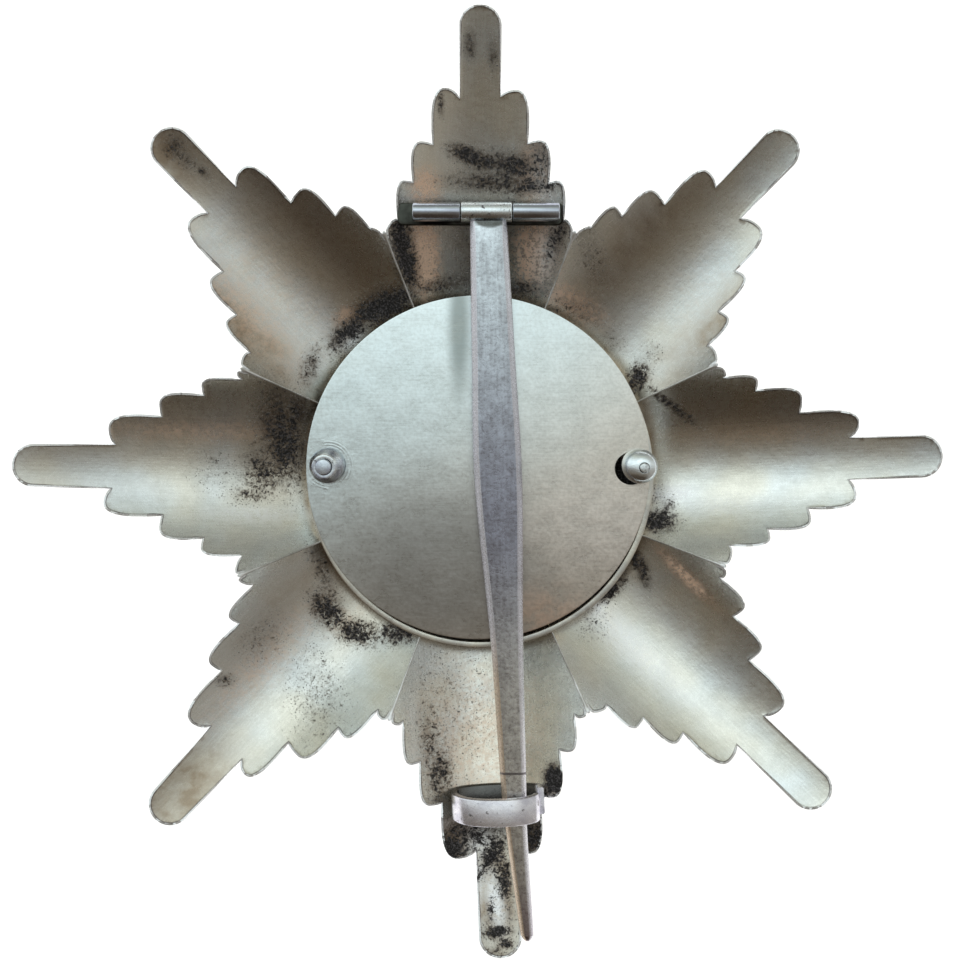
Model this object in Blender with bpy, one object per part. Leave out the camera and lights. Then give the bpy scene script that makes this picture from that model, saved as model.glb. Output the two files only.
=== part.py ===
"""Breast star of eight silver-gilt rays, modelled with its back upwards.

Lengths are metres. +Z points out of the back, +Y along the top ray and +X to the
right as one looks at the back. The star lies on the flat rim of its front medallion,
which is the plane z = 0.
"""

import math

import bmesh
import bpy
from mathutils import Matrix, Vector

MM = 0.001
GAP = 0.3 * MM
MERGE_DISTANCE = 0.005 * MM
CUT_TOLERANCE = 0.00001 * MM

# Place of the star's own centre, so that the whole star is centred over the origin
STAR_CENTRE_X = 0.264 * MM
STAR_CENTRE_Y = 0.603 * MM

# Rays: name, direction in degrees from +X, radius of the tip, shift of the shoulders
RAYS = (
    ("right", 2.4, 44.2 * MM, 0.0 * MM),
    ("upper_right", 47.4, 44.1 * MM, 0.1 * MM),
    ("top", 90.0, 44.9 * MM, 0.75 * MM),
    ("upper_left", 133.4, 44.9 * MM, 0.45 * MM),
    ("left", 178.8, 44.7 * MM, -0.45 * MM),
    ("lower_left", 226.7, 45.2 * MM, -0.3 * MM),
    ("bottom", 272.5, 46.15 * MM, 0.0 * MM),
    ("lower_right", 316.5, 45.5 * MM, 0.1 * MM),
)

# Scallops from the finger outwards: radius of the notch that starts each one, the
# notch's distance from the ray's axis, how far the scallop's end passes the notch,
# radius of its rounded corner and how far its side flares past the next notch
SCALLOPS = (
    (35.7 * MM, 2.00 * MM, 0.50 * MM, 1.20 * MM, 0.18 * MM),
    (31.0 * MM, 4.72 * MM, 0.25 * MM, 1.10 * MM, 0.20 * MM),
    (27.0 * MM, 6.76 * MM, 0.20 * MM, 0.85 * MM, 0.15 * MM),
)
LAST_NOTCH_RADIUS = 23.4 * MM
LAST_NOTCH_ACROSS = 8.24 * MM
LAST_SCALLOP_RISE = 0.35 * MM
FINGER_HALF_WIDTH = 2.05 * MM
FINGER_ARC_STEPS = 5
SCALLOP_ARC_FROM = -40.0
SCALLOP_ARC_STEPS = 4

# Seams between the rays run along the lines halfway between two directions
SEAM_OUTER_RADIUS = 24.8 * MM
SEAM_INNER_RADIUS = 7.0 * MM

# Section of a ray and the doming of the star
FLUTE_EDGES = (2.0 * MM, 4.72 * MM, 6.76 * MM, 8.24 * MM)
FLUTE_CRESTS = (3.4 * MM, 5.75 * MM, 7.5 * MM, 9.0 * MM)
DOME_CUTS = (12.0 * MM, 18.0 * MM, 24.0 * MM, 30.0 * MM, 36.0 * MM, 41.0 * MM)
TROUGH_RADIUS = 14.0 * MM
TROUGH_FLOOR = 4.1 * MM
DOME_START = 8.0 * MM
DOME_RISE = 2.5 * MM
DOME_REACH = 45.0 * MM
SHEET_AT_GROOVE = 0.75 * MM
SHEET_AT_REED = 1.0 * MM

# Seat ring soldered over the inner ends of the rays
SEAT_RING_OUTER = 16.6 * MM
SEAT_RING_INNER = 15.95 * MM
SEAT_RING_FOOT = 3.9 * MM
SEAT_RING_TOP = 6.0 * MM

# Back disc, a little above the star's centre
DISC_X = -0.2 * MM
DISC_Y = 0.7 * MM
DISC_RADIUS = 16.35 * MM
DISC_THICKNESS = 0.8 * MM
DISC_EDGE = 0.15 * MM
DISC_BOTTOM = SEAT_RING_TOP + GAP
DISC_TOP = DISC_BOTTOM + DISC_THICKNESS

# Front medallion with its rim and posts
MEDALLION_RADIUS = 16.8 * MM
MEDALLION_RIM = 1.5 * MM
MEDALLION_HEIGHT = 2.75 * MM
MEDALLION_RECESS = 1.4 * MM
RECESS_FLARE = 0.6 * MM
POST_RADIUS = 0.75 * MM
POST_LEFT = (-14.46 * MM, 0.9 * MM)
POST_RIGHT = (14.8 * MM, 0.95 * MM)
POST_SINK = 0.3 * MM
POST_TOP_LEFT = 8.75 * MM
POST_TOP_RIGHT = 9.35 * MM
POST_HOLE = POST_RADIUS + GAP
RIGHT_HOLE = 1.5 * MM

# Turned outlines of the nuts: radius and height above the disc's gap
LEFT_NUT = (
    (1.60 * MM, 0.0 * MM),
    (1.65 * MM, 0.3 * MM),
    (1.35 * MM, 0.75 * MM),
    (1.15 * MM, 1.1 * MM),
)
RIGHT_NUT = (
    (1.30 * MM, 0.0 * MM),
    (1.60 * MM, 0.45 * MM),
    (1.62 * MM, 0.85 * MM),
    (1.42 * MM, 1.35 * MM),
    (1.12 * MM, 1.7 * MM),
)

# Hinge across the top ray
HINGE_Y = 24.8 * MM
HINGE_Z = 8.25 * MM
KNUCKLE_RADIUS = 0.88 * MM
KNUCKLE_BORE = 0.57 * MM
ROD_RADIUS = 0.32 * MM
LEFT_KNUCKLE = (-6.42 * MM, -1.75 * MM)
MIDDLE_KNUCKLE = (-1.45 * MM, 2.77 * MM)
RIGHT_KNUCKLE = (3.07 * MM, 7.46 * MM)
BRIDGE_LEFT = -7.85 * MM
BRIDGE_RIGHT = 7.75 * MM
BRIDGE_HALF_WIDTH = 1.05 * MM
BRIDGE_THICKNESS = 0.65 * MM
BRIDGE_TOP = HINGE_Z - KNUCKLE_RADIUS - GAP
SADDLE_HALF_WIDTH = 0.5 * MM
SADDLE_SINK = 0.2 * MM

# Catch on the bottom ray: a strip bent to a loop, open at its upper right.
# Places of its bends across the ray and in height
CATCH_BENDS = (
    (4.72 * MM, 7.15 * MM),
    (4.50 * MM, 6.15 * MM),
    (2.40 * MM, 5.55 * MM),
    (0.00 * MM, 5.35 * MM),
    (-2.40 * MM, 5.55 * MM),
    (-3.95 * MM, 6.05 * MM),
    (-4.25 * MM, 7.00 * MM),
    (-3.90 * MM, 8.10 * MM),
    (-3.00 * MM, 9.10 * MM),
    (-1.60 * MM, 9.75 * MM),
    (0.00 * MM, 10.05 * MM),
    (1.70 * MM, 10.05 * MM),
    (3.20 * MM, 9.70 * MM),
    (4.15 * MM, 9.20 * MM),
    (4.40 * MM, 8.75 * MM),
)
CATCH_THICKNESS = 0.6 * MM
CATCH_NEAR = 30.4 * MM
CATCH_FAR = 32.9 * MM
CATCH_RAY = 6

# Pin: place along Y from the hinge, place of its middle in X, half its width, height
# of its middle and its thickness
PIN_SECTIONS = (
    (-0.75 * MM, 0.75 * MM, 1.70 * MM, 8.15 * MM, 0.90 * MM),
    (-1.50 * MM, 0.78 * MM, 1.76 * MM, 8.25 * MM, 1.10 * MM),
    (-2.60 * MM, 0.82 * MM, 1.80 * MM, 8.45 * MM, 1.40 * MM),
    (-14.0 * MM, 1.25 * MM, 2.05 * MM, 8.68 * MM, 1.45 * MM),
    (-25.4 * MM, 1.70 * MM, 2.25 * MM, 8.75 * MM, 1.45 * MM),
    (-40.4 * MM, 2.50 * MM, 1.55 * MM, 8.58 * MM, 1.35 * MM),
    (-53.5 * MM, 3.12 * MM, 1.22 * MM, 8.32 * MM, 1.25 * MM),
    (-58.2 * MM, 3.35 * MM, 1.13 * MM, 8.22 * MM, 1.20 * MM),
    (-67.6 * MM, 4.25 * MM, 0.68 * MM, 7.85 * MM, 0.95 * MM),
    (-68.6 * MM, 4.36 * MM, 0.40 * MM, 7.80 * MM, 0.60 * MM),
)
PIN_CHAMFER = 0.28

ROUND_SEGMENTS = 64
HOLE_SEGMENTS = 20
KNUCKLE_SEGMENTS = 24

SILVER_GILT = (0.60, 0.54, 0.40, 1.0)
DISC_SILVER = (0.62, 0.60, 0.52, 1.0)
POLISHED_SILVER = (0.66, 0.66, 0.68, 1.0)
PIN_SILVER = (0.50, 0.49, 0.53, 1.0)
FRONT_GILT = (0.72, 0.58, 0.30, 1.0)


def clear_scene():
    """Take away what the start-up scene holds."""
    for item in list(bpy.data.objects):
        bpy.data.objects.remove(item, do_unlink=True)


def metal(name, colour, roughness):
    """A metal finish."""
    material = bpy.data.materials.new(name)
    material.use_nodes = True
    shader = material.node_tree.nodes["Principled BSDF"]
    shader.inputs["Base Color"].default_value = colour
    shader.inputs["Metallic"].default_value = 1.0
    shader.inputs["Roughness"].default_value = roughness
    return material


def finished(name, bm, material, parent, place=(0.0, 0.0, 0.0)):
    """Turn a bmesh into an object under the star's frame, its origin at place."""
    bmesh.ops.translate(bm, verts=bm.verts, vec=-Vector(place))
    bmesh.ops.recalc_face_normals(bm, faces=bm.faces)
    mesh = bpy.data.meshes.new(name)
    bm.to_mesh(mesh)
    bm.free()
    mesh.shade_smooth()
    mesh.set_sharp_from_angle(angle=math.radians(30.0))
    if material is not None:
        mesh.materials.append(material)
    piece = bpy.data.objects.new(name, mesh)
    piece.location = place
    piece.parent = parent
    bpy.context.scene.collection.objects.link(piece)
    return piece


def helper(name, bm, parent):
    """An object that only joins or cuts another one."""
    piece = finished(name, bm, None, parent)
    piece.display_type = "WIRE"
    piece.hide_render = True
    return piece


def boolean(piece, other, operation):
    """Join a helper to a piece or cut it out."""
    modifier = piece.modifiers.new(other.name, "BOOLEAN")
    modifier.operation = operation
    modifier.solver = "EXACT"
    modifier.object = other


def box_bmesh(low, high):
    """A box between two corners."""
    bm = bmesh.new()
    size = Vector(high) - Vector(low)
    middle = (Vector(high) + Vector(low)) / 2.0
    bmesh.ops.create_cube(bm, size=1.0, matrix=Matrix.Translation(middle) @ Matrix.Diagonal((*size, 1.0)))
    return bm


def upright_cylinder(x, y, low, high, radius, segments):
    """A round bar along Z."""
    bm = bmesh.new()
    place = Matrix.Translation((x, y, (low + high) / 2.0))
    bmesh.ops.create_cone(
        bm, cap_ends=True, segments=segments, radius1=radius, radius2=radius, depth=high - low, matrix=place
    )
    return bm


def lying_cylinder(left, right, radius, segments):
    """A round bar along the hinge's axis."""
    bm = bmesh.new()
    place = Matrix.Translation(((left + right) / 2.0, HINGE_Y, HINGE_Z))
    turn = Matrix.Rotation(math.radians(90.0), 4, "Y")
    bmesh.ops.create_cone(
        bm, cap_ends=True, segments=segments, radius1=radius, radius2=radius, depth=right - left,
        matrix=place @ turn,
    )
    return bm


def half_angles():
    """Half the angle from each ray to its next neighbour, counter-clockwise."""
    halves = []
    for index, ray in enumerate(RAYS):
        following = RAYS[(index + 1) % len(RAYS)][1]
        halves.append(math.radians((following - ray[1]) % 360.0) / 2.0)
    return halves


def half_outline(tip, shift, half_angle):
    """One side of a ray's outline from its tip to the seam: along and across."""
    points = []
    finger_centre = tip - FINGER_HALF_WIDTH
    for step in range(1, FINGER_ARC_STEPS + 1):
        angle = math.radians(90.0) * step / FINGER_ARC_STEPS
        along = finger_centre + FINGER_HALF_WIDTH * math.cos(angle)
        points.append((along, FINGER_HALF_WIDTH * math.sin(angle)))
    for index, (notch, across, rise, corner, flare) in enumerate(SCALLOPS):
        if index + 1 < len(SCALLOPS):
            next_across = SCALLOPS[index + 1][1]
        else:
            next_across = LAST_NOTCH_ACROSS
        centre_along = notch + shift + rise - corner
        centre_across = next_across + flare - corner
        points.append((notch + shift, across))
        for step in range(SCALLOP_ARC_STEPS + 1):
            share = step / SCALLOP_ARC_STEPS
            angle = math.radians(SCALLOP_ARC_FROM + (90.0 - SCALLOP_ARC_FROM) * share)
            if centre_across + corner * math.sin(angle) <= across:
                continue
            points.append((centre_along + corner * math.cos(angle), centre_across + corner * math.sin(angle)))
    last = LAST_NOTCH_RADIUS + shift
    seam_along = SEAM_OUTER_RADIUS * math.cos(half_angle)
    seam_across = SEAM_OUTER_RADIUS * math.sin(half_angle)
    points.append((last, LAST_NOTCH_ACROSS))
    points.append((max(last, seam_along) + LAST_SCALLOP_RISE, (LAST_NOTCH_ACROSS + seam_across) / 2.0))
    points.append((seam_along, seam_across))
    points.append((SEAM_INNER_RADIUS * math.cos(half_angle), SEAM_INNER_RADIUS * math.sin(half_angle)))
    return points


def flat_ray(tip, shift, left_half, right_half):
    """A ray as a flat sheet along +X, cut into the cells that its form needs."""
    bm = bmesh.new()
    left = half_outline(tip, shift, left_half)
    right = [(along, -across) for along, across in half_outline(tip, shift, right_half)]
    outline = [(tip, 0.0)] + left + list(reversed(right))
    corners = [bm.verts.new((along, across, 0.0)) for along, across in outline]
    bm.faces.new(corners)
    levels = [0.0]
    for across in FLUTE_EDGES + FLUTE_CRESTS:
        levels.extend((across, -across))
    for level in levels:
        whole = bm.verts[:] + bm.edges[:] + bm.faces[:]
        bmesh.ops.bisect_plane(
            bm, geom=whole, plane_co=(0.0, level, 0.0), plane_no=(0.0, 1.0, 0.0), dist=CUT_TOLERANCE
        )
    for cut in DOME_CUTS:
        whole = bm.verts[:] + bm.edges[:] + bm.faces[:]
        bmesh.ops.bisect_plane(
            bm, geom=whole, plane_co=(cut, 0.0, 0.0), plane_no=(1.0, 0.0, 0.0), dist=CUT_TOLERANCE
        )
    return bm


def ray_frame(x, y):
    """Distance along and across the ray that a point belongs to."""
    radius = math.hypot(x, y)
    angle = math.degrees(math.atan2(y, x))
    off = [(angle - ray[1] + 180.0) % 360.0 - 180.0 for ray in RAYS]
    nearest = math.radians(min(off, key=abs))
    return radius * math.cos(nearest), abs(radius * math.sin(nearest))


def back_height(along, across):
    """Height of the hollow back of a ray."""
    hollow = TROUGH_RADIUS - math.sqrt(TROUGH_RADIUS**2 - across**2)
    share = max(0.0, along - DOME_START) / (DOME_REACH - DOME_START)
    return TROUGH_FLOOR + hollow + DOME_RISE * share**2


def sheet_thickness(across):
    """Thickness of a ray: thin in the front's grooves, thick on its reeds."""
    nearest = min(abs(across - edge) for edge in FLUTE_EDGES)
    widest = FLUTE_EDGES[0] / 2.0
    share = min(1.0, nearest / widest)
    return SHEET_AT_GROOVE + (SHEET_AT_REED - SHEET_AT_GROOVE) * share


def star_sheet():
    """All eight rays as one closed sheet, meeting at their seams."""
    bm = bmesh.new()
    halves = half_angles()
    for index, (_, direction, tip, shift) in enumerate(RAYS):
        ray = flat_ray(tip, shift, halves[index], halves[index - 1])
        bmesh.ops.rotate(ray, verts=ray.verts, matrix=Matrix.Rotation(math.radians(direction), 3, "Z"))
        mesh = bpy.data.meshes.new("flat_ray")
        ray.to_mesh(mesh)
        ray.free()
        bm.from_mesh(mesh)
        bpy.data.meshes.remove(mesh)
    bmesh.ops.remove_doubles(bm, verts=bm.verts, dist=MERGE_DISTANCE)
    bmesh.ops.triangulate(bm, faces=bm.faces)
    front = bmesh.ops.extrude_face_region(bm, geom=bm.faces[:])
    front_verts = {item for item in front["geom"] if isinstance(item, bmesh.types.BMVert)}
    for vert in bm.verts:
        along, across = ray_frame(vert.co.x, vert.co.y)
        vert.co.z = back_height(along, across)
        if vert in front_verts:
            vert.co.z -= sheet_thickness(across)
    return bm


def seat_ring():
    """The ring on which the back disc lies."""
    return turned(
        (
            (SEAT_RING_OUTER, SEAT_RING_FOOT),
            (SEAT_RING_OUTER, SEAT_RING_TOP),
            (SEAT_RING_INNER, SEAT_RING_TOP),
            (SEAT_RING_INNER, SEAT_RING_FOOT),
        ),
        ROUND_SEGMENTS,
        closed=True,
    )


def turned(profile, segments, closed=False, x=0.0, y=0.0):
    """A turned shape from radii and heights. A closed profile makes a ring."""
    bm = bmesh.new()
    rows = [bm.verts.new((radius, 0.0, height)) for radius, height in profile]
    edges = [bm.edges.new((rows[index], rows[index + 1])) for index in range(len(rows) - 1)]
    if closed:
        edges.append(bm.edges.new((rows[-1], rows[0])))
    bmesh.ops.spin(
        bm, geom=rows + edges, axis=(0.0, 0.0, 1.0), cent=(0.0, 0.0, 0.0), angle=math.tau, steps=segments,
        use_merge=True,
    )
    bmesh.ops.remove_doubles(bm, verts=bm.verts, dist=MERGE_DISTANCE)
    bmesh.ops.holes_fill(bm, edges=bm.edges, sides=0)
    bmesh.ops.translate(bm, verts=bm.verts, vec=(x, y, 0.0))
    return bm


def bridge_plate():
    """The plate that bridges the top ray's trough and carries the hinge."""
    low = (BRIDGE_LEFT, HINGE_Y - BRIDGE_HALF_WIDTH, BRIDGE_TOP - BRIDGE_THICKNESS)
    high = (BRIDGE_RIGHT, HINGE_Y + BRIDGE_HALF_WIDTH, BRIDGE_TOP)
    return box_bmesh(low, high)


def saddle(span):
    """Solder foot between the bridge plate and a fixed knuckle."""
    inset = BRIDGE_THICKNESS / 4.0
    low = (span[0] + inset, HINGE_Y - SADDLE_HALF_WIDTH, BRIDGE_TOP - SADDLE_SINK)
    high = (span[1] - inset, HINGE_Y + SADDLE_HALF_WIDTH, HINGE_Z)
    return box_bmesh(low, high)


def catch_strip():
    """The catch: a strip of even thickness along its bends, across the bottom ray."""
    bends = [Vector(bend) for bend in CATCH_BENDS]
    outer = []
    inner = []
    for index, bend in enumerate(bends):
        before = bends[max(index - 1, 0)]
        after = bends[min(index + 1, len(bends) - 1)]
        run = (after - before).normalized()
        side = Vector((run.y, -run.x)) * CATCH_THICKNESS / 2.0
        outer.append(bend + side)
        inner.append(bend - side)
    outline = outer + list(reversed(inner))
    bm = bmesh.new()
    corners = [bm.verts.new((CATCH_NEAR, point.x, point.y)) for point in outline]
    face = bm.faces.new(corners)
    far = bmesh.ops.extrude_face_region(bm, geom=[face])
    far_verts = [item for item in far["geom"] if isinstance(item, bmesh.types.BMVert)]
    bmesh.ops.translate(bm, verts=far_verts, vec=(CATCH_FAR - CATCH_NEAR, 0.0, 0.0))
    bmesh.ops.triangulate(bm, faces=bm.faces)
    direction = math.radians(RAYS[CATCH_RAY][1])
    bmesh.ops.rotate(bm, verts=bm.verts, matrix=Matrix.Rotation(direction, 3, "Z"))
    return bm


def make_star_body(parent, material):
    """The star with everything that is soldered to it."""
    body = finished("star_body", star_sheet(), material, parent)
    boolean(body, helper("seat_ring", seat_ring(), parent), "UNION")
    boolean(body, helper("bridge_plate", bridge_plate(), parent), "UNION")
    for name, span in (("left", LEFT_KNUCKLE), ("right", RIGHT_KNUCKLE)):
        boolean(body, helper(name + "_saddle", saddle(span), parent), "UNION")
        knuckle = lying_cylinder(span[0], span[1], KNUCKLE_RADIUS, KNUCKLE_SEGMENTS)
        boolean(body, helper(name + "_knuckle", knuckle, parent), "UNION")
    boolean(body, helper("catch_strip", catch_strip(), parent), "UNION")
    bore = lying_cylinder(LEFT_KNUCKLE[0] - MM, RIGHT_KNUCKLE[1] + MM, KNUCKLE_BORE, HOLE_SEGMENTS)
    boolean(body, helper("hinge_bore", bore, parent), "DIFFERENCE")
    for name, post in (("left", POST_LEFT), ("right", POST_RIGHT)):
        hole = upright_cylinder(post[0], post[1], MEDALLION_HEIGHT, DISC_BOTTOM, POST_HOLE, HOLE_SEGMENTS)
        boolean(body, helper(name + "_post_hole", hole, parent), "DIFFERENCE")
    return body


def make_back_disc(parent, material):
    """The flat cover disc, its edges broken, with a hole for each post."""
    profile = (
        (DISC_RADIUS - DISC_EDGE, DISC_BOTTOM),
        (DISC_RADIUS, DISC_BOTTOM + DISC_EDGE),
        (DISC_RADIUS, DISC_TOP - DISC_EDGE),
        (DISC_RADIUS - DISC_EDGE, DISC_TOP),
    )
    disc = finished("back_disc", turned(profile, ROUND_SEGMENTS, x=DISC_X, y=DISC_Y), material, parent)
    for name, post, radius in (("left", POST_LEFT, POST_HOLE), ("right", POST_RIGHT, RIGHT_HOLE)):
        hole = upright_cylinder(post[0], post[1], DISC_BOTTOM - MM, DISC_TOP + MM, radius, HOLE_SEGMENTS)
        boolean(disc, helper(name + "_disc_hole", hole, parent), "DIFFERENCE")
    return disc


def make_front_medallion(parent, material):
    """The plain front boss: a dish with a flat rim, and its two posts."""
    profile = (
        (MEDALLION_RADIUS - MEDALLION_RIM - RECESS_FLARE, MEDALLION_RECESS),
        (MEDALLION_RADIUS - MEDALLION_RIM, 0.0),
        (MEDALLION_RADIUS, 0.0),
        (MEDALLION_RADIUS, MEDALLION_HEIGHT),
    )
    medallion = finished("front_medallion", turned(profile, ROUND_SEGMENTS), material, parent)
    for name, post, top in (("left", POST_LEFT, POST_TOP_LEFT), ("right", POST_RIGHT, POST_TOP_RIGHT)):
        foot = MEDALLION_HEIGHT - POST_SINK
        bar = upright_cylinder(post[0], post[1], foot, top, POST_RADIUS, HOLE_SEGMENTS)
        boolean(medallion, helper(name + "_post", bar, parent), "UNION")
    return medallion


def make_nut(name, outline, post, parent, material):
    """A turned nut round the end of a post."""
    seat = DISC_TOP + GAP
    profile = [(radius, seat + height) for radius, height in outline]
    profile.append((POST_HOLE, profile[-1][1]))
    profile.append((POST_HOLE, seat))
    nut = turned(profile, KNUCKLE_SEGMENTS, closed=True, x=post[0], y=post[1])
    return finished(name, nut, material, parent)


def make_hinge_rod(parent, material):
    """The wire that the hinge turns on."""
    rod = lying_cylinder(LEFT_KNUCKLE[0], RIGHT_KNUCKLE[1], ROD_RADIUS, HOLE_SEGMENTS)
    return finished("hinge_rod", rod, material, parent)


def pin_blade():
    """The pin's blade: eight-sided sections set along its length."""
    bm = bmesh.new()
    rings = []
    for along, middle, half, height, thickness in PIN_SECTIONS:
        rise = thickness / 2.0
        cut = min(PIN_CHAMFER * thickness, half / 2.0)
        corners = (
            (half, rise - cut), (half - cut, rise), (-half + cut, rise), (-half, rise - cut),
            (-half, -rise + cut), (-half + cut, -rise), (half - cut, -rise), (half, -rise + cut),
        )
        ring = [bm.verts.new((middle + across, HINGE_Y + along, height + up)) for across, up in corners]
        rings.append([bm.edges.new((ring[index - 1], ring[index])) for index in range(len(ring))])
    for near, far in zip(rings, rings[1:]):
        bmesh.ops.bridge_loops(bm, edges=near + far)
    bmesh.ops.holes_fill(bm, edges=bm.edges, sides=0)
    bmesh.ops.triangulate(bm, faces=bm.faces)
    return bm


def make_pin(parent, material):
    """The pin with its knuckle, its origin on the hinge's axis."""
    axis = ((MIDDLE_KNUCKLE[0] + MIDDLE_KNUCKLE[1]) / 2.0, HINGE_Y, HINGE_Z)
    knuckle = lying_cylinder(MIDDLE_KNUCKLE[0], MIDDLE_KNUCKLE[1], KNUCKLE_RADIUS, KNUCKLE_SEGMENTS)
    pin = finished("pin", knuckle, material, parent, place=axis)
    boolean(pin, helper("pin_blade", pin_blade(), parent), "UNION")
    bore = lying_cylinder(MIDDLE_KNUCKLE[0] - MM, MIDDLE_KNUCKLE[1] + MM, KNUCKLE_BORE, HOLE_SEGMENTS)
    boolean(pin, helper("pin_bore", bore, parent), "DIFFERENCE")
    return pin


def main():
    """Build the star."""
    clear_scene()
    frame = bpy.data.objects.new("star_frame", None)
    frame.location = (STAR_CENTRE_X, STAR_CENTRE_Y, 0.0)
    bpy.context.scene.collection.objects.link(frame)
    polished = metal("polished_silver", POLISHED_SILVER, 0.2)
    make_star_body(frame, metal("silver_gilt", SILVER_GILT, 0.35))
    make_back_disc(frame, metal("disc_silver", DISC_SILVER, 0.35))
    make_front_medallion(frame, metal("front_gilt", FRONT_GILT, 0.3))
    make_nut("nut_left", LEFT_NUT, POST_LEFT, frame, polished)
    make_nut("nut_right", RIGHT_NUT, POST_RIGHT, frame, polished)
    make_hinge_rod(frame, metal("rod_silver", POLISHED_SILVER, 0.3))
    make_pin(frame, metal("pin_silver", PIN_SILVER, 0.35))


main()
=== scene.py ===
"""Breast star, back upwards: the finish of every piece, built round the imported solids.

Tables are in millimetres, everything else in metres, in the frame of the solids: +Z out
of the star's back, +Y along the top ray, the star lying on the plane z = 0.
"""
import math
import random

import bmesh
import bpy
from mathutils import Matrix, Vector


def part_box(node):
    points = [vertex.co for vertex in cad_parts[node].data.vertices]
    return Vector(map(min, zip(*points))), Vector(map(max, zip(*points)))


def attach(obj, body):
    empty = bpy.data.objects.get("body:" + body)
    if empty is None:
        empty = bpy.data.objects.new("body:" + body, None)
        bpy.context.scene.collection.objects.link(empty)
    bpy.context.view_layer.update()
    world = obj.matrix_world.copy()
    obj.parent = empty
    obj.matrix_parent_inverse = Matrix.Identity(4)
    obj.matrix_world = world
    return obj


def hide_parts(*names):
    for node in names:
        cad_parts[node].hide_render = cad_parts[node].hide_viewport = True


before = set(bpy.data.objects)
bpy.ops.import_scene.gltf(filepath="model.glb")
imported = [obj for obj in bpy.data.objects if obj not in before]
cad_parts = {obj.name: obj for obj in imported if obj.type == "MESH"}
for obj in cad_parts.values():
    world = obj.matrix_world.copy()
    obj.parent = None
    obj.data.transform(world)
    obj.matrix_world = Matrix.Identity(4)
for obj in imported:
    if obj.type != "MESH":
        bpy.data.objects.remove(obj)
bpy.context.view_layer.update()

MM = 0.001
STAR = "star"
PIN = "pin"

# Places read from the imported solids
MEDALLION_LOW, MEDALLION_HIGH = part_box("front_medallion")
DISC_LOW, DISC_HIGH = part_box("back_disc")
ROD_LOW, ROD_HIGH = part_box("hinge_rod")
NUT_LEFT_LOW, NUT_LEFT_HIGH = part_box("nut_left")
NUT_RIGHT_LOW, NUT_RIGHT_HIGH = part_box("nut_right")
STAR_CENTRE = (MEDALLION_LOW + MEDALLION_HIGH) / 2.0
DISC_CENTRE = (DISC_LOW + DISC_HIGH) / 2.0
HINGE = (ROD_LOW + ROD_HIGH) / 2.0
POST_LEFT = (NUT_LEFT_LOW + NUT_LEFT_HIGH) / 2.0
POST_RIGHT = (NUT_RIGHT_LOW + NUT_RIGHT_HIGH) / 2.0

# The photograph's frame: its height in pixels, the real size of a pixel at the rays'
# height, the camera's height above the table, and its sensor in millimetres
PHOTO_HEIGHT = 962
PIXEL = 0.0957 * MM
RAY_HEIGHT = 6.0 * MM
CAMERA_HEIGHT = 176.0 * MM
SENSOR = 36.0

# Rays: name, direction in degrees from +X, radius of the tip
RAYS = (
    ("right", 2.4, 44.2),
    ("upper_right", 47.4, 44.1),
    ("top", 90.0, 44.9),
    ("upper_left", 133.4, 44.9),
    ("left", 178.8, 44.7),
    ("lower_left", 226.7, 45.2),
    ("bottom", 272.5, 46.15),
    ("lower_right", 316.5, 45.5),
)

# The hand-cut notches on each side of a ray, from the finger inwards, as distance along
# the ray and across it. The first row is the ray's counter-clockwise side
NOTCHES = {
    "right": (
        ((35.7, 2.1), (30.9, 4.7), (26.7, 7.0), (23.6, 8.3)),
        ((35.4, 2.0), (31.3, 4.6), (27.3, 6.4), (23.5, 7.8)),
    ),
    "upper_right": (
        ((35.7, 2.1), (31.1, 4.6), (27.4, 6.8), (24.4, 8.2)),
        ((35.1, 1.8), (31.0, 4.8), (27.0, 6.3), (23.8, 7.7)),
    ),
    "top": (
        ((36.2, 2.0), (31.7, 4.6), (28.0, 6.5), (24.3, 7.9)),
        ((36.4, 2.0), (31.8, 4.6), (27.9, 6.6), (24.2, 8.0)),
    ),
    "upper_left": (
        ((36.3, 1.8), (31.2, 4.6), (27.2, 6.5), (23.6, 8.0)),
        ((36.3, 2.0), (31.5, 4.8), (27.5, 7.0), (24.1, 8.5)),
    ),
    "left": (
        ((35.5, 2.1), (30.5, 4.6), (26.4, 6.7), (22.5, 8.2)),
        ((35.2, 2.2), (30.7, 5.0), (26.6, 7.1), (22.9, 8.6)),
    ),
    "lower_left": (
        ((35.7, 2.1), (31.4, 4.3), (27.0, 6.8), (23.1, 8.3)),
        ((35.4, 2.3), (30.7, 5.2), (26.2, 7.1), (22.4, 8.5)),
    ),
    "bottom": (
        ((35.7, 2.0), (31.0, 4.4), (26.7, 6.5), (23.3, 8.0)),
        ((36.1, 2.0), (31.3, 5.1), (27.2, 7.0), (23.2, 8.4)),
    ),
    "lower_right": (
        ((35.8, 2.0), (31.0, 4.9), (26.9, 6.9), (23.3, 8.6)),
        ((35.8, 1.9), (31.2, 4.6), (27.4, 6.2), (23.9, 7.7)),
    ),
}

# Lobes between the notches: how far the lobe passes its notch, where its crown lies as
# a share of its width, and how far its side flares past the next notch
LOBES = (
    (0.65, 0.52, 0.22),
    (0.14, 0.50, 0.24),
    (0.10, 0.50, 0.20),
)

# Play in a lobe's rise, and its curve's handles as shares of its width and its length
LOBE_PLAY = 0.35
LOBE_FOOT = 0.08
LOBE_SHOULDER = 0.25
LOBE_SIDE = 0.45
LOBE_STEPS = 6
FINGER_HALF_WIDTH = 2.05
FINGER_STEPS = 12
LAST_LOBE_RISE = 0.45
LAST_LOBE_FOOT = 0.1
LAST_LOBE_STEPS = 6

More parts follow.
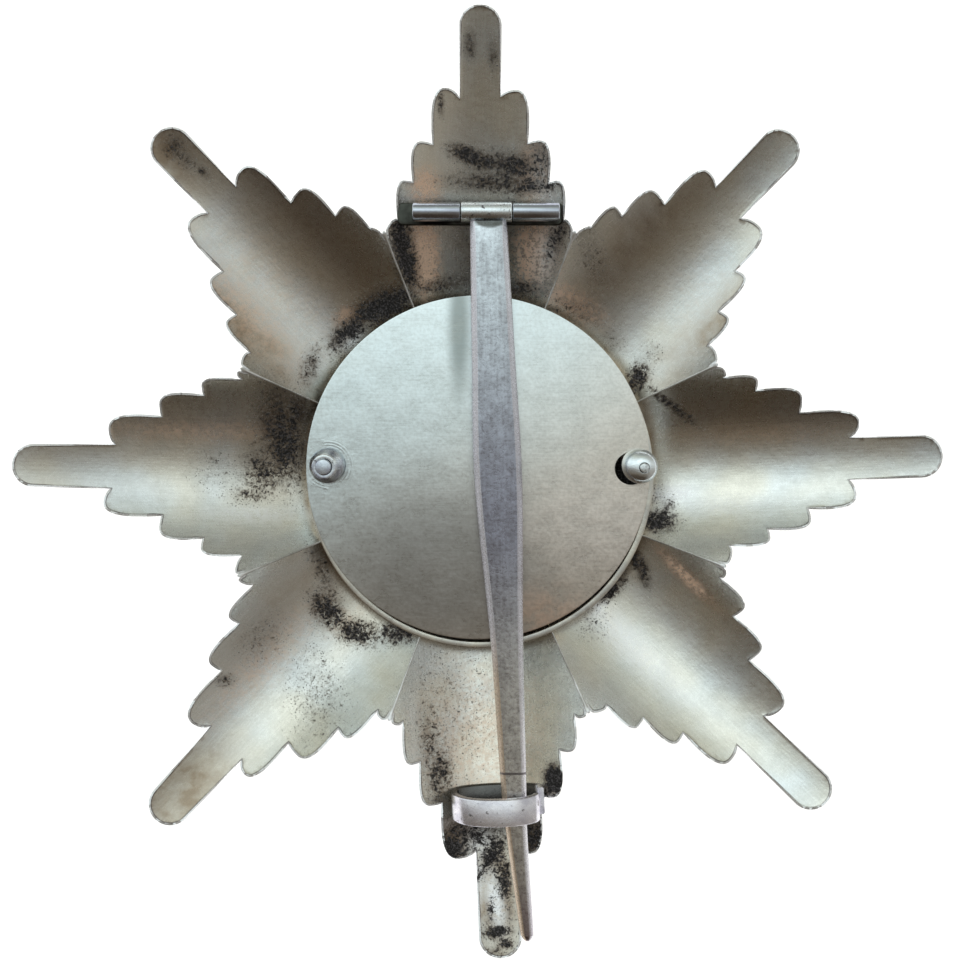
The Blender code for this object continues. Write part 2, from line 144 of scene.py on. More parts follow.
# Seams between rays, and the small V at their outer ends
SEAM_OUTER = 24.8
SEAM_V_BOTTOM = 24.0
SEAM_V_ANGLE = 0.55
SEAM_INNER = 7.0
SEAM_GAP_ANGLE = 0.1

# Sheet of a ray: cut edge, bright as wear and as painted highlight, dark line beside it, cells and section
RIM_WIDTH = 0.20
LINE_WIDTH = 0.10
RIM_DROP = 0.10
RIM_BURR = 0.03
CELL_ACROSS = 0.34
CELL_ALONG = 0.60
SHEET_REACH_ACROSS = 9.6
SHEET_REACH_ALONG = 46.0
TROUGH_RADIUS = 14.0
TROUGH_FLOOR = 4.1
DOME_START = 8.0
DOME_RISE = 2.5
DOME_REACH = 45.0
FLUTE_EDGES = (0.0, 2.0, 4.72, 6.76, 8.24, 10.0)
SHEET_AT_GROOVE = 0.72
REED_RISE = 0.34
CUT_TOLERANCE = 0.00001
RIM = 1
LINE = 2

# Solder along a seam: distance from the centre, half its width, rise over the ridge
SOLDER_SECTIONS = (
    (16.4, 0.12, 0.08),
    (18.8, 0.11, 0.07),
    (21.2, 0.12, 0.08),
    (23.4, 0.16, 0.08),
    (24.1, 0.19, 0.06),
    (24.6, 0.21, 0.02),
    (24.8, 0.10, -0.10),
)

# Its section: play in its width, where its shoulders lie as a share of half the width and
# of the rise, and how far its feet and its keel lie under the ridge
SOLDER_PLAY = 0.07
SOLDER_SHOULDER = 0.7
SOLDER_SHOULDER_RISE = 0.3
SOLDER_FOOT = -0.25
SOLDER_KEEL = -0.4
SOLDER_STEPS = 3

# Seat ring under the back disc
SEAT_RING_OUTER = 16.6
SEAT_RING_INNER = 15.95
SEAT_RING_FOOT = 3.9
SEAT_RING_TOP = 6.0

# Back disc: steps round its edge and its holes, the band of faces beside them, the hole
# round the right post and how far it is shifted from the post
DISC_STEPS = 188
HOLE_STEPS = 44
DISC_SUPPORT = 0.12
RIGHT_HOLE = 1.55
RIGHT_HOLE_SHIFT = (-0.46, -0.36)

# Front medallion and its posts
MEDALLION_RIM = 1.5
MEDALLION_RECESS = 1.4
RECESS_FLARE = 0.6
MEDALLION_HEIGHT = 2.75
POST_RADIUS = 0.75
POST_GAP = 0.3
POST_FOOT = MEDALLION_HEIGHT - POST_GAP
LEFT_POST_TOP = 8.75

# Turned outlines of the nuts: radius and height above the nut's seat
LEFT_NUT = (
    (1.60, 0.00),
    (1.65, 0.10),
    (1.65, 0.30),
    (1.52, 0.50),
    (1.35, 0.72),
    (1.24, 0.95),
    (1.12, 1.10),
)
RIGHT_NUT = (
    (1.20, 0.00),
    (1.45, 0.15),
    (1.60, 0.45),
    (1.64, 0.80),
    (1.60, 1.15),
    (1.44, 1.50),
    (1.18, 1.76),
    (0.84, 1.94),
    (0.52, 2.00),
)

# How far the nuts lean for each millimetre of height, the riveted end in the ball nut,
# the height of the nuts' seat, and the gaps between the nuts and their posts
BALL_LEAN = (0.30, -0.16)
LOW_NUT_LEAN = (-0.28, -0.16)
BALL_TIP = 9.55
BALL_TIP_RADIUS = 0.46
BALL_TIP_EDGE = 0.12
NUT_SEAT = 7.4
NUT_GAP = 0.02
BALL_GAP = 0.04
RIGHT_POST_TOP = NUT_SEAT - 0.05

# Hinge: spans of the knuckles from the star's centre, and the bridge plate
KNUCKLE_RADIUS = 0.88
KNUCKLE_BORE = 0.57
ROD_RADIUS = 0.32
LEFT_KNUCKLE = (-6.38, -1.91)
MIDDLE_KNUCKLE = (-1.82, 2.98)
RIGHT_KNUCKLE = (3.07, 7.46)
MIDDLE_RADIUS = 0.96
BRIDGE_LEFT = -7.85
BRIDGE_RIGHT = 7.75
BRIDGE_HALF_WIDTH = 1.05
BRIDGE_TOP = 7.07
BRIDGE_THICKNESS = 0.65
BRIDGE_CORNER = 0.45

# Solder under a fixed knuckle: half its width at the plate, at the waist and at the
# hinge's height, how high the waist is, how far it sinks in and how far it keeps inside
SADDLE_FOOT = 0.62
SADDLE_WAIST = 0.45
SADDLE_NECK = 0.40
SADDLE_WAIST_RISE = 0.25
SADDLE_SINK = 0.1
SADDLE_INSET = 0.15

# Catch: bends of the strip across the bottom ray and in height
CATCH_RAY = 6
CATCH_BENDS = (
    (4.42, 7.15),
    (4.30, 6.15),
    (2.40, 5.55),
    (0.00, 5.35),
    (-2.20, 5.55),
    (-3.50, 6.05),
    (-3.80, 7.00),
    (-3.55, 8.10),
    (-2.75, 9.10),
    (-1.50, 9.75),
    (0.00, 10.05),
    (1.60, 10.05),
    (2.90, 9.70),
    (3.70, 9.20),
    (3.92, 8.75),
)

# The strip: its thickness, the height of its crown, the X up to which painted shade lies low on it,
# its edges along the ray, the rounding of its corners, its tilt and its shear
CATCH_THICKNESS = 0.6
CATCH_CROWN = 10.05
CATCH_LEG = 5.4
CATCH_NEAR = 30.4
CATCH_FAR = 32.9
CATCH_CORNER = 0.13
CATCH_TILT = 0.09
CATCH_SHEAR = 0.15
CATCH_STEPS = 6
# Painted shade on the strip's low inside: the height where it ends and the depth over which it fades in
CATCH_SHADE_BELOW = 8.6
CATCH_SHADE_DEPTH = 1.6

# Pin: place along Y from the hinge, middle in X from the star's centre, half width,
# height of the middle, thickness
PIN_SECTIONS = (
    (-0.75, 0.75, 1.70, 8.15, 0.90),
    (-1.50, 0.78, 1.76, 8.25, 1.10),
    (-2.60, 0.82, 1.80, 8.45, 1.40),
    (-14.0, 1.25, 2.05, 8.68, 1.45),
    (-25.4, 1.70, 2.25, 8.75, 1.45),
    (-40.4, 2.50, 1.55, 8.58, 1.35),
    (-53.5, 3.12, 1.22, 8.32, 1.25),
    (-58.2, 3.40, 1.02, 8.22, 1.20),
    (-67.4, 4.33, 0.66, 7.87, 0.98),
    (-68.3, 4.42, 0.58, 7.82, 0.85),
    (-68.75, 4.46, 0.38, 7.80, 0.60),
    (-68.95, 4.47, 0.15, 7.80, 0.30),
)

# The pin's bevel as a share of its thickness, the softness of its edges, the spacing of
# its rings, how far a face leans to count as a bevel, and the wear and painted highlight of the right bevel
PIN_CHAMFER = 0.34
PIN_SOFTNESS = 0.07
PIN_STATION = 0.5
BEVEL_LEAN = 0.2
RIGHT_BEVEL_WEAR_AND_HIGHLIGHT = 0.6

# Along the pin from the hinge: the notch across it, the length of the warm patch beyond
# the notch, and how far beyond it the mauve of the tip begins and is full
PIN_NOTCH = -52.95
PIN_PATCH = 2.2
PIN_TIP_FROM = 8.5
PIN_TIP_TO = 14.5

# Tarnish on the rays, a row for each mark: X and Y from the star's centre, half length,
# half width, turn in degrees, strength
TARNISH = (
    # Top ray, across both scallops
    (-0.9, 31.3, 1.5, 0.6, -20, 1.2),
    (0.9, 30.7, 0.9, 0.6, 20, 1.05),
    (3.6, 30.2, 2.2, 1, -12, 0.95),
    (6, 30.2, 1, 2.1, 0, 0.75),
    (2.2, 28.8, 4.3, 0.9, 0, 0.75),
    (5, 28.2, 2.7, 0.7, 0, 0.9),
    (-0.7, 41.7, 0.5, 1.1, 0, 0.75),
    (1.5, 40.8, 0.5, 1.3, 0, 0.6),
    (-3.5, 36.1, 0.3, 1.1, 0, 0.7),
    # Below the hinge
    (-7, 22.1, 0.9, 3.4, 12, 1.15),
    (-5, 21, 1.3, 2.9, 0, 0.3),
    (5.5, 21.6, 1.2, 2.9, 0, 0.34),
    (7.5, 23.1, 0.7, 2.1, -20, 0.85),
    (-3.6, 18.8, 2.9, 0.7, 12, 0.7),
    (4.1, 18.5, 2.4, 0.8, -8, 0.75),
    # Upper left ray, near the disc and on the finger
    (-9.2, 16.7, 2.8, 1.1, 22, 1.2),
    (-12.3, 14.4, 2, 1, 45, 1.05),
    (-12.6, 13.8, 1.7, 1, 50, 0.8),
    (-16.1, 11, 0.7, 1.7, -15, 0.7),
    (-29, 31.9, 0.8, 0.8, 0, 0.75),
    (-28, 30.7, 1, 0.6, -45, 0.6),
    (-26.3, 29.6, 0.7, 0.4, -45, 0.6),
    # Left ray
    (-18.7, 3.9, 1.7, 3.8, 10, 0.9),
    (-20.6, 1.1, 2.1, 2.1, 0, 0.7),
    (-17.2, 6.6, 1, 1.3, 0, 0.75),
    (-25.4, 1.1, 2.3, 2.1, 0, 0.32),
    (-21.8, -1.3, 1.9, 0.8, 0, 0.6),
    # Lower left ray
    (-14.5, -12.5, 1.1, 1.7, 35, 0.95),
    (-11.5, -14.6, 1.9, 1, -10, 0.95),
    (-7.8, -14.6, 1.6, 0.9, 0, 0.95),
    (-14.9, -8.5, 0.8, 2.5, 20, 0.6),
    (-24.2, -19.1, 0.8, 0.5, 0, 0.7),
    (-15.3, -21, 2.7, 4.8, 10, 0.38),
    (-20.6, -15.2, 2.4, 1.7, 45, 0.38),
    # Bottom ray
    (-4.5, -25.3, 1.1, 4, 8, 0.55),
    (-3.6, -28.1, 1.1, 2.3, 0, 0.75),
    (7.4, -28.6, 0.65, 0.9, 0, 2),
    (6.6, -30.3, 0.7, 0.9, 0, 0.9),
    (-0.7, -33.9, 2.3, 1.3, 0, 0.9),
    (5, -34.2, 1.7, 1.5, 0, 0.95),
    (-2.4, -35.1, 1.2, 1.2, 0, 1.25),
    (1.5, -35.6, 1, 1.6, -25, 1.05),
    (2.5, -38.2, 0.6, 1.8, 0, 1.05),
    (0.4, -37.4, 0.5, 1.4, -30, 0.8),
    (1.9, -43, 1.1, 0.45, 0, 1.25),
    (2.7, -44.2, 0.7, 0.4, 0, 0.95),
    (1.3, -41, 0.35, 0.9, 0, 0.95),
    (1.8, -45, 1.4, 0.5, 0, 0.6),
    (3, -41.2, 0.5, 1.3, 0, 0.55),
    (-2.6, -22, 4.3, 6.7, 0, 0.32),
    (6.5, -22, 2.3, 5.8, 0, 0.16),
    # Lower right ray
    (14.8, -7, 0.5, 1.3, 30, 1.05),
    (15.9, -8.6, 0.5, 1.4, 15, 0.9),
    (12.6, -10.4, 1.5, 0.8, 45, 1.2),
    (11, -13.1, 1.3, 2.1, 0, 0.42),
    # Right ray
    (17.3, -3.9, 1.5, 0.8, 0, 1.15),
    (18.3, -2.7, 0.5, 1, -20, 0.85),
    (17, -1.3, 0.8, 1.1, 0, 0.55),
    (18.4, 7.4, 2.6, 0.25, -36, 1.1),
    (14.5, 0.8, 1, 1, 0, 2.5),
    # Upper right ray
    (15.5, 10, 0.8, 1.2, -20, 1),
    (8.9, 16.6, 2.5, 1.1, -20, 0.5),
    (10.8, 21.6, 1.3, 2.5, 20, 0.4),
    (12.9, 13.5, 1.3, 1.3, 0, 0.4),
    (17, 12.5, 1, 0.8, 0, 0.4),
)

# Brown patina over larger areas, in the same columns as the tarnish
FILM = (
    (-15.6, 22.4, 10, 3, -46.6, 0.45),
    (-30.5, 32, 4.5, 2.4, -46.6, 0.95),
    (14.6, 23.3, 9, 2.6, 47.4, 0.62),
    (-2, 33, 3, 9, 0, 0.35),
    (-5, 24.4, 4, 1, 0, 0.6),
    (-0.5, 21.5, 3, 3.5, 0, 0.6),
    (0, 26.5, 7, 1.2, 0, 0.5),
    (23.4, 15.1, 8, 1.7, 47.4, 0.8),
    (-23.3, 15.1, 8, 1.9, -46.6, 0.9),
    (-19.8, 11, 6, 1.8, -46.6, 0.7),
    (19.2, 12.3, 6, 1.6, 47.4, 0.5),
    (-18.6, -11.6, 7, 1.8, 46.7, 0.55),
    (-4.6, -27, 1.4, 7, 0, 0.3),
    (1.8, -40.5, 2.4, 4.5, 0, 0.95),
    (-28, -29.5, 2.6, 4.5, -43.3, 0.95),
    (-40.5, 1, 4, 2, 0, 0.38),
    (0, 41, 2.2, 4, 0, 0.3),
    (-0.2, -30.4, 3, 0.9, 0, 0.85),
    (-2.4, -34.8, 1.6, 1.6, 0, 1),
    (5.2, -34.3, 1.2, 1.6, 0, 0.9),
    (40.5, 1.7, 4, 2, 0, 0.25),
    (-24, 8.5, 10, 2.5, 0, 0.25),
    (24, 8, 10, 2.5, 0, 0.3),
    (13, -12.5, 3, 3, 0, 0.45),
    (-13.5, -12, 2.5, 3.5, 45, 0.5),
    (-19.5, 3, 2.5, 4.5, 10, 0.5),
)

# Grime and painted shade beside the disc: its strength and its reach in millimetres
DISC_SHADOW = 0.9
DISC_SHADOW_REACH = 0.8

# Bare bright metal where the gilding is rubbed off, in the same columns as the tarnish
BARE = (
    (1.7, -40.2, 0.5, 1.7, 12, 1),
    (0, -38.4, 0.4, 1.6, 0, 0.8),
    (0.1, -34.6, 0.9, 1.1, -20, 0.6),
    (18.8, -1.3, 1.6, 0.6, 0, 0.9),
    (22.5, -2.6, 6, 1, 0, 0.35),
    (11.4, -12, 0.7, 0.5, 45, 0.9),
    (15, -16.5, 5.5, 1.2, -45, 0.5),
    (-22, -3.3, 3.5, 0.6, 0, 0.6),
    (-12, 13.6, 0.8, 0.5, 45, 0.85),
    (6.3, 29.2, 0.9, 2.2, 0, 0.45),
    (6.6, 21, 0.9, 2.4, 0, 0.55),
    (-6.2, -24, 0.4, 3, 0, 0.3),
    (-12.6, 30, 2, 0.5, 45, 0.4),
)

# On the disc, a painted pale gleam, a coppery area, painted shade and the pin's painted shadow: X
# and Y from the star's centre, turn and stretch. Then the way towards the painted reflection's warm side
DISC_GLOW_PLACE = (11.5, -4.6, 0.9, 0.7)
DISC_COPPER_PLACE = (6.2, -13.4, 0.4, 0.8)
DISC_SHADE_PLACE = (-3.5, -9, 0.3, 0.8)
DISC_PIN_SHADOW_PLACE = (-2, 14.2, 0, 6.5)
DISC_WARM_REFLECTION_WAY = (0.6, -0.8, 0)

# Coppery blushes in the gilding, in the same columns as the tarnish
BLUSHES = (
    (-5.2, 21.3, 1.1, 2.8, 0, 1.4),
    (5.6, 21.8, 1.7, 3.2, 0, 1.1),
    (-22.2, 16.2, 8, 2.5, -46.6, 0.42),
    (-20, 19, 11, 5, -46.6, 0.32),
    (20.5, 19, 11, 5, 47.4, 0.24),
    (-20.7, -17.6, 8, 2, 46.7, 0.42),
    (0, -25, 7, 8, 0, 0.46),
    (-5, 28.2, 1.2, 1.4, 0, 1),
    (5.5, 29.2, 1.4, 2.6, 0, 0.9),
    (-12.5, 15.9, 1.2, 0.8, 20, 0.9),
    (-27, 4.8, 9, 1.1, 0, 0.5),
    (8.5, 17.2, 3.6, 1.3, -25, 0.75),
    (28, 4.5, 9, 1.3, 2, 0.4),
    (20, -9.2, 3.2, 0.5, -45, 0.95),
    (-5.5, -27.5, 1.2, 3, 0, 0.35),
    (-13, -13.5, 2.5, 1.2, 45, 0.35),
)


def at(x, y, z):
    """A place given in millimetres from the star's centre."""
    return Vector((STAR_CENTRE.x + x * MM, STAR_CENTRE.y + y * MM, z * MM))


# Meshes

def finish_piece(name, bm, material, body, slot, *nodes, crease=35.0):
    """Turn a bmesh into a piece that rides on a body and stands for CAD nodes."""
    mesh = bpy.data.meshes.new(name)
    bm.to_mesh(mesh)
    bm.free()
    mesh.shade_smooth()
    mesh.set_sharp_from_angle(angle=math.radians(crease))
    mesh.materials.append(material)
    made = bpy.data.objects.new(name, mesh)
    bpy.context.scene.collection.objects.link(made)
    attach(made, body)
    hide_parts(*nodes)
    return made


def round_edges(bm, edges, width, segments=3):
    """Round some edges."""
    bmesh.ops.bevel(
        bm, geom=edges, offset=width * MM, affect="EDGES", segments=segments, profile=0.5,
        material=-1, clamp_overlap=True,
    )


def soften(bm, width, least=30.0):
    """Round every edge that turns by more than an angle."""
    limit = math.radians(least)
    sharp = [edge for edge in bm.edges if edge.is_manifold and edge.calc_face_angle(0.0) > limit]
    round_edges(bm, sharp, width)


def spun(profile, place, steps=96, closed=True, axis="Z"):
    """A turned shape from radii and heights in millimetres, about an axis through place."""
    bm = bmesh.new()
    rows = [bm.verts.new((radius * MM, 0.0, height * MM)) for radius, height in profile]
    edges = [bm.edges.new(pair) for pair in zip(rows, rows[1:])]
    if closed:
        edges.append(bm.edges.new((rows[-1], rows[0])))
    bmesh.ops.spin(
        bm, geom=rows + edges, axis=(0.0, 0.0, 1.0), cent=(0.0, 0.0, 0.0), angle=math.tau,
        steps=steps, use_merge=True,
    )
    bmesh.ops.remove_doubles(bm, verts=bm.verts, dist=0.001 * MM)
    if not closed:
        bmesh.ops.holes_fill(bm, edges=bm.edges, sides=0)
    if axis == "X":
        bmesh.ops.rotate(bm, verts=bm.verts, matrix=Matrix.Rotation(math.radians(90.0), 3, "Y"))
    bmesh.ops.translate(bm, verts=bm.verts, vec=place)
    bmesh.ops.recalc_face_normals(bm, faces=bm.faces)
    return bm


def lofted(rings):
    """A closed skin through rings of points in metres."""
    bm = bmesh.new()
    loops = []
    for ring in rings:
        verts = [bm.verts.new(point) for point in ring]
        loops.append([bm.edges.new((verts[index - 1], verts[index])) for index in range(len(verts))])
    for near, far in zip(loops, loops[1:]):
        bmesh.ops.bridge_loops(bm, edges=near + far)
    bmesh.ops.holes_fill(bm, edges=bm.edges, sides=0)
    bmesh.ops.recalc_face_normals(bm, faces=bm.faces)
    return bm


def smooth_rows(rows, counts):
    """More rows between the given ones, on a smooth curve through each column."""
    made = []
    for index in range(len(rows) - 1):
        before = rows[max(index - 1, 0)]
        start = rows[index]
        end = rows[index + 1]
        after = rows[min(index + 2, len(rows) - 1)]
        for step in range(counts[index]):
            share = step / counts[index]
            row = []
            for a, b, c, d in zip(before, start, end, after):
                bend = (2.0 * a - 5.0 * b + 4.0 * c - d) * share**2
                twist = (3.0 * b - a - 3.0 * c + d) * share**3
                row.append((2.0 * b + (c - a) * share + bend + twist) / 2.0)
            made.append(tuple(row))
    made.append(tuple(rows[-1]))
    return made


# Rays

def half_angles():
    """Half the angle from each ray to the next one, counter-clockwise, in degrees."""
    following = [RAYS[(index + 1) % len(RAYS)][1] for index in range(len(RAYS))]
    return [((after - ray[1]) % 360.0) / 2.0 for ray, after in zip(RAYS, following)]


def polar(radius, angle):
    """Along and across from a radius and an angle off the ray's axis."""
    return radius * math.cos(math.radians(angle)), radius * math.sin(math.radians(angle))


def bezier(start, first, second, end, steps):
    """Points on a smooth curve, without its start."""
    made = []
    for step in range(1, steps + 1):
        share = step / steps
        rest = 1.0 - share
        made.append(tuple(
            rest**3 * a + 3.0 * rest**2 * share * b + 3.0 * rest * share**2 * c + share**3 * d
            for a, b, c, d in zip(start, first, second, end)
        ))
    return made


def side_outline(tip, notches, half_angle, chance):
    """One side of a ray from its tip to the seam's inner end."""
    points = []
    for step in range(1, FINGER_STEPS + 1):
        along, across = polar(FINGER_HALF_WIDTH, 90.0 * step / FINGER_STEPS)
        points.append((tip - FINGER_HALF_WIDTH + along, across))
    for (rise, crown, flare), start, end in zip(LOBES, notches, notches[1:]):
        rise *= 1.0 + chance.uniform(-LOBE_PLAY, LOBE_PLAY)
        width = end[1] - start[1]
        top = start[0] + rise
        peak = (top, start[1] + crown * width)
        foot = (start[0] + rise / 2.0, start[1] + LOBE_FOOT * width)
        points.append(start)
        points += bezier(start, foot, (top, start[1] + LOBE_SHOULDER * width), peak, LOBE_STEPS)
        side = (start[0] - LOBE_SIDE * (start[0] - end[0]), end[1] + flare)
        points += bezier(peak, (top, end[1] + flare), side, end, 2 * LOBE_STEPS)[:-1]
    start = notches[-1]
    end = polar(SEAM_OUTER, half_angle - SEAM_V_ANGLE)
    outer = (start[0] + LAST_LOBE_RISE, start[1] + LAST_LOBE_FOOT * (end[1] - start[1]))
    points.append(start)
    points += bezier(start, outer, (end[0] + LAST_LOBE_RISE, end[1]), end, LAST_LOBE_STEPS)
    points.append(polar(SEAM_V_BOTTOM, half_angle - SEAM_GAP_ANGLE))
    points.append(polar(SEAM_INNER, half_angle - SEAM_GAP_ANGLE))
    return points


def cut_in_cells(bm, reach, cell, first, normal):
    """Cut a flat sheet along evenly spaced lines."""
    for step in range(int((reach - first) / cell) + 1):
        place = (first + step * cell) * MM
        whole = bm.verts[:] + bm.edges[:] + bm.faces[:]
        bmesh.ops.bisect_plane(
            bm, geom=whole, plane_co=[place * axis for axis in normal], plane_no=normal,
            dist=CUT_TOLERANCE * MM,
        )


def flat_ray(outline):
    """The flat sheet of a ray, with its rim and dark line marked, cut into cells."""
    bm = bmesh.new()
    band = bm.faces.layers.int.new("band")
    corners = [bm.verts.new((along * MM, across * MM, 0.0)) for along, across in outline]
    bm.faces.new(corners).normal_update()
    for width, mark in ((RIM_WIDTH, RIM), (LINE_WIDTH, LINE)):
        inner = [face for face in bm.faces if face[band] == 0]
        made = bmesh.ops.inset_region(
            bm, faces=inner, thickness=width * MM, use_even_offset=False, use_boundary=True
        )
        for face in made["faces"]:
            face[band] = mark
    cut_in_cells(bm, SHEET_REACH_ACROSS, CELL_ACROSS, -SHEET_REACH_ACROSS, (0.0, 1.0, 0.0))
    cut_in_cells(bm, SHEET_REACH_ALONG, CELL_ALONG, SEAM_INNER, (1.0, 0.0, 0.0))
    bmesh.ops.triangulate(bm, faces=[face for face in bm.faces if len(face.verts) > 4])
    return bm


def back_height(along, across):
    """Height of the hollow back of a ray."""
    hollow = TROUGH_RADIUS - math.sqrt(TROUGH_RADIUS**2 - across**2)
    share = max(0.0, along - DOME_START) / (DOME_REACH - DOME_START)
    return TROUGH_FLOOR + hollow + DOME_RISE * share**2


def sheet_thickness(across):
    """Thickness of a ray: thin in the front's grooves, thick on its reeds."""
    for inner, outer in zip(FLUTE_EDGES, FLUTE_EDGES[1:]):
        if abs(across) <= outer:
            share = (abs(across) - inner) / (outer - inner)
            if inner == 0.0:
                return SHEET_AT_GROOVE + REED_RISE * math.cos(share * math.pi / 2.0)
            return SHEET_AT_GROOVE + REED_RISE * math.sin(share * math.pi)
    return SHEET_AT_GROOVE


def shape_ray(bm):
    """Give a flat ray its trough, its doming, its cut edge and its reeded front."""
    band = bm.faces.layers.int["band"]
    free_verts = {vert for vert in bm.verts if vert.co.xy.length > SEAM_V_BOTTOM * MM}
    rim_verts = {vert for vert in free_verts if vert.is_boundary}
    burr_verts = {
        vert for vert in free_verts - rim_verts if any(face[band] == RIM for face in vert.link_faces)
    }
    back = bm.faces[:]
    front = bmesh.ops.extrude_face_region(bm, geom=back)
    front_verts = {item for item in front["geom"] if isinstance(item, bmesh.types.BMVert)}
    for vert in bm.verts:
        along = vert.co.x / MM
        across = vert.co.y / MM
        height = back_height(along, across)
        if vert in front_verts:
            height -= sheet_thickness(across)
        elif vert in rim_verts:
            height -= RIM_DROP
        elif vert in burr_verts:
            height += RIM_BURR
        vert.co.z = height * MM
    for face in bm.faces:
        hidden = sum(vert in front_verts for vert in face.verts)
        if hidden == len(face.verts):
            face[band] = 0
        elif hidden:
            face[band] = RIM
    bmesh.ops.recalc_face_normals(bm, faces=bm.faces)
    bm.verts.index_update()
    return {vert.index for vert in front_verts}


def mark_at(place, marks):
    """How strongly the marks cover a place, from 0 to 1."""
    strongest = 0.0
    for x, y, long_half, wide_half, turn, strength in marks:
        across_x = place.x / MM - x
        across_y = place.y / MM - y
        if max(abs(across_x), abs(across_y)) > 2.5 * max(long_half, wide_half):
            continue
        angle = math.radians(turn)
        first = (across_x * math.cos(angle) + across_y * math.sin(angle)) / long_half
        second = (across_y * math.cos(angle) - across_x * math.sin(angle)) / wide_half
        strongest = max(strongest, strength * math.exp(-0.5 * (first**2 + second**2)))
    return strongest


def mark_back(bm, front_indices):
    """Store the marks on a ray's back and leave its front clean."""
    tables = {"tarnish": TARNISH, "blush": BLUSHES, "film_and_shade": FILM, "bare": BARE}
    layers = {name: bm.verts.layers.float.new(name) for name in tables}
    for vert in bm.verts:
        if vert.index in front_indices:
            continue
        for name, marks in tables.items():
            vert[layers[name]] = mark_at(vert.co, marks)
        # Grime and painted shade on the rays beside the disc go in with the brown patina
        out = (vert.co - DISC_CENTRE).xy.length / MM - SEAT_RING_OUTER
        grime = DISC_SHADOW * math.exp(-((out / DISC_SHADOW_REACH) ** 2))
        vert[layers["film_and_shade"]] = max(vert[layers["film_and_shade"]], grime)


def make_ray(index, halves, material):
    """One ray of the star."""
    name, direction, tip = RAYS[index]
    chance = random.Random(index)
    left = side_outline(tip, NOTCHES[name][0], halves[index], chance)
    right = side_outline(tip, NOTCHES[name][1], halves[index - 1], chance)
    outline = [(tip, 0.0)] + left + [(along, -across) for along, across in reversed(right)]
    bm = flat_ray(outline)
    front_indices = shape_ray(bm)
    band = bm.faces.layers.int["band"]
    grain = bm.loops.layers.uv.new("grain")
    rim = bm.loops.layers.float.new("rim")
    for face in bm.faces:
        free = face.calc_center_median().xy.length > SEAM_V_BOTTOM * MM
        for loop in face.loops:
            loop[grain].uv = (loop.vert.co.x / MM, loop.vert.co.y / MM)
            loop[rim] = free * (1.0 if face[band] == RIM else 0.5 * (face[band] == LINE))
    bmesh.ops.rotate(bm, verts=bm.verts, matrix=Matrix.Rotation(math.radians(direction), 3, "Z"))
    bmesh.ops.translate(bm, verts=bm.verts, vec=at(0.0, 0.0, 0.0))
    mark_back(bm, front_indices)
    return finish_piece("ray_" + name, bm, material, STAR, "silver_gilt", "star_body", crease=40.0)


def make_solder(index, halves, material):
    """The thin solder line on the ridge between a ray and the next one."""
    middle = math.radians(RAYS[index][1] + halves[index])
    outwards = Vector((math.cos(middle), math.sin(middle), 0.0))
    sideways = Vector((-outwards.y, outwards.x, 0.0))
    chance = random.Random(100 + index)
    counts = [SOLDER_STEPS] * (len(SOLDER_SECTIONS) - 1)
    rings = []
    for radius, half, rise in smooth_rows(SOLDER_SECTIONS, counts):
        half *= chance.uniform(1.0 - SOLDER_PLAY, 1.0 + SOLDER_PLAY)
        along, across = polar(radius, halves[index])
        ridge = back_height(along, across)
        centre = at(0.0, 0.0, 0.0) + outwards * radius * MM
        shoulder = SOLDER_SHOULDER_RISE * rise
        section = (
            (-1.0, SOLDER_FOOT), (-SOLDER_SHOULDER, shoulder), (0.0, rise),
            (SOLDER_SHOULDER, shoulder), (1.0, SOLDER_FOOT), (0.0, SOLDER_KEEL),
        )
        rings.append([
            centre + sideways * side * half * MM + Vector((0.0, 0.0, ridge + lift)) * MM
            for side, lift in section
        ])
    bm = lofted(rings)
    return finish_piece(
        "seam_after_" + RAYS[index][0], bm, material, STAR, "silver_gilt", "star_body", crease=60.0
    )


def make_seat_ring(material):
    """The ring on which the back disc lies."""
    profile = (
        (SEAT_RING_OUTER, SEAT_RING_FOOT),
        (SEAT_RING_OUTER, SEAT_RING_TOP),
        (SEAT_RING_INNER, SEAT_RING_TOP),
        (SEAT_RING_INNER, SEAT_RING_FOOT),
    )
    bm = spun(profile, at(0.0, 0.0, 0.0), steps=192)
    soften(bm, 0.12)
    return finish_piece("seat_ring", bm, material, STAR, "silver_gilt", "star_body")


# Disc, medallion and nuts

def ring_of(bm, points, height):
    """The closed outline through points of a level plane."""
    verts = [bm.verts.new((x, y, height)) for x, y in points]
    return [bm.edges.new((verts[index - 1], verts[index])) for index in range(len(verts))]


def circle(centre, radius, steps):
    """Points round a circle in metres."""
    angles = [math.tau * step / steps for step in range(steps)]
    return [(centre.x + radius * math.cos(angle), centre.y + radius * math.sin(angle)) for angle in angles]


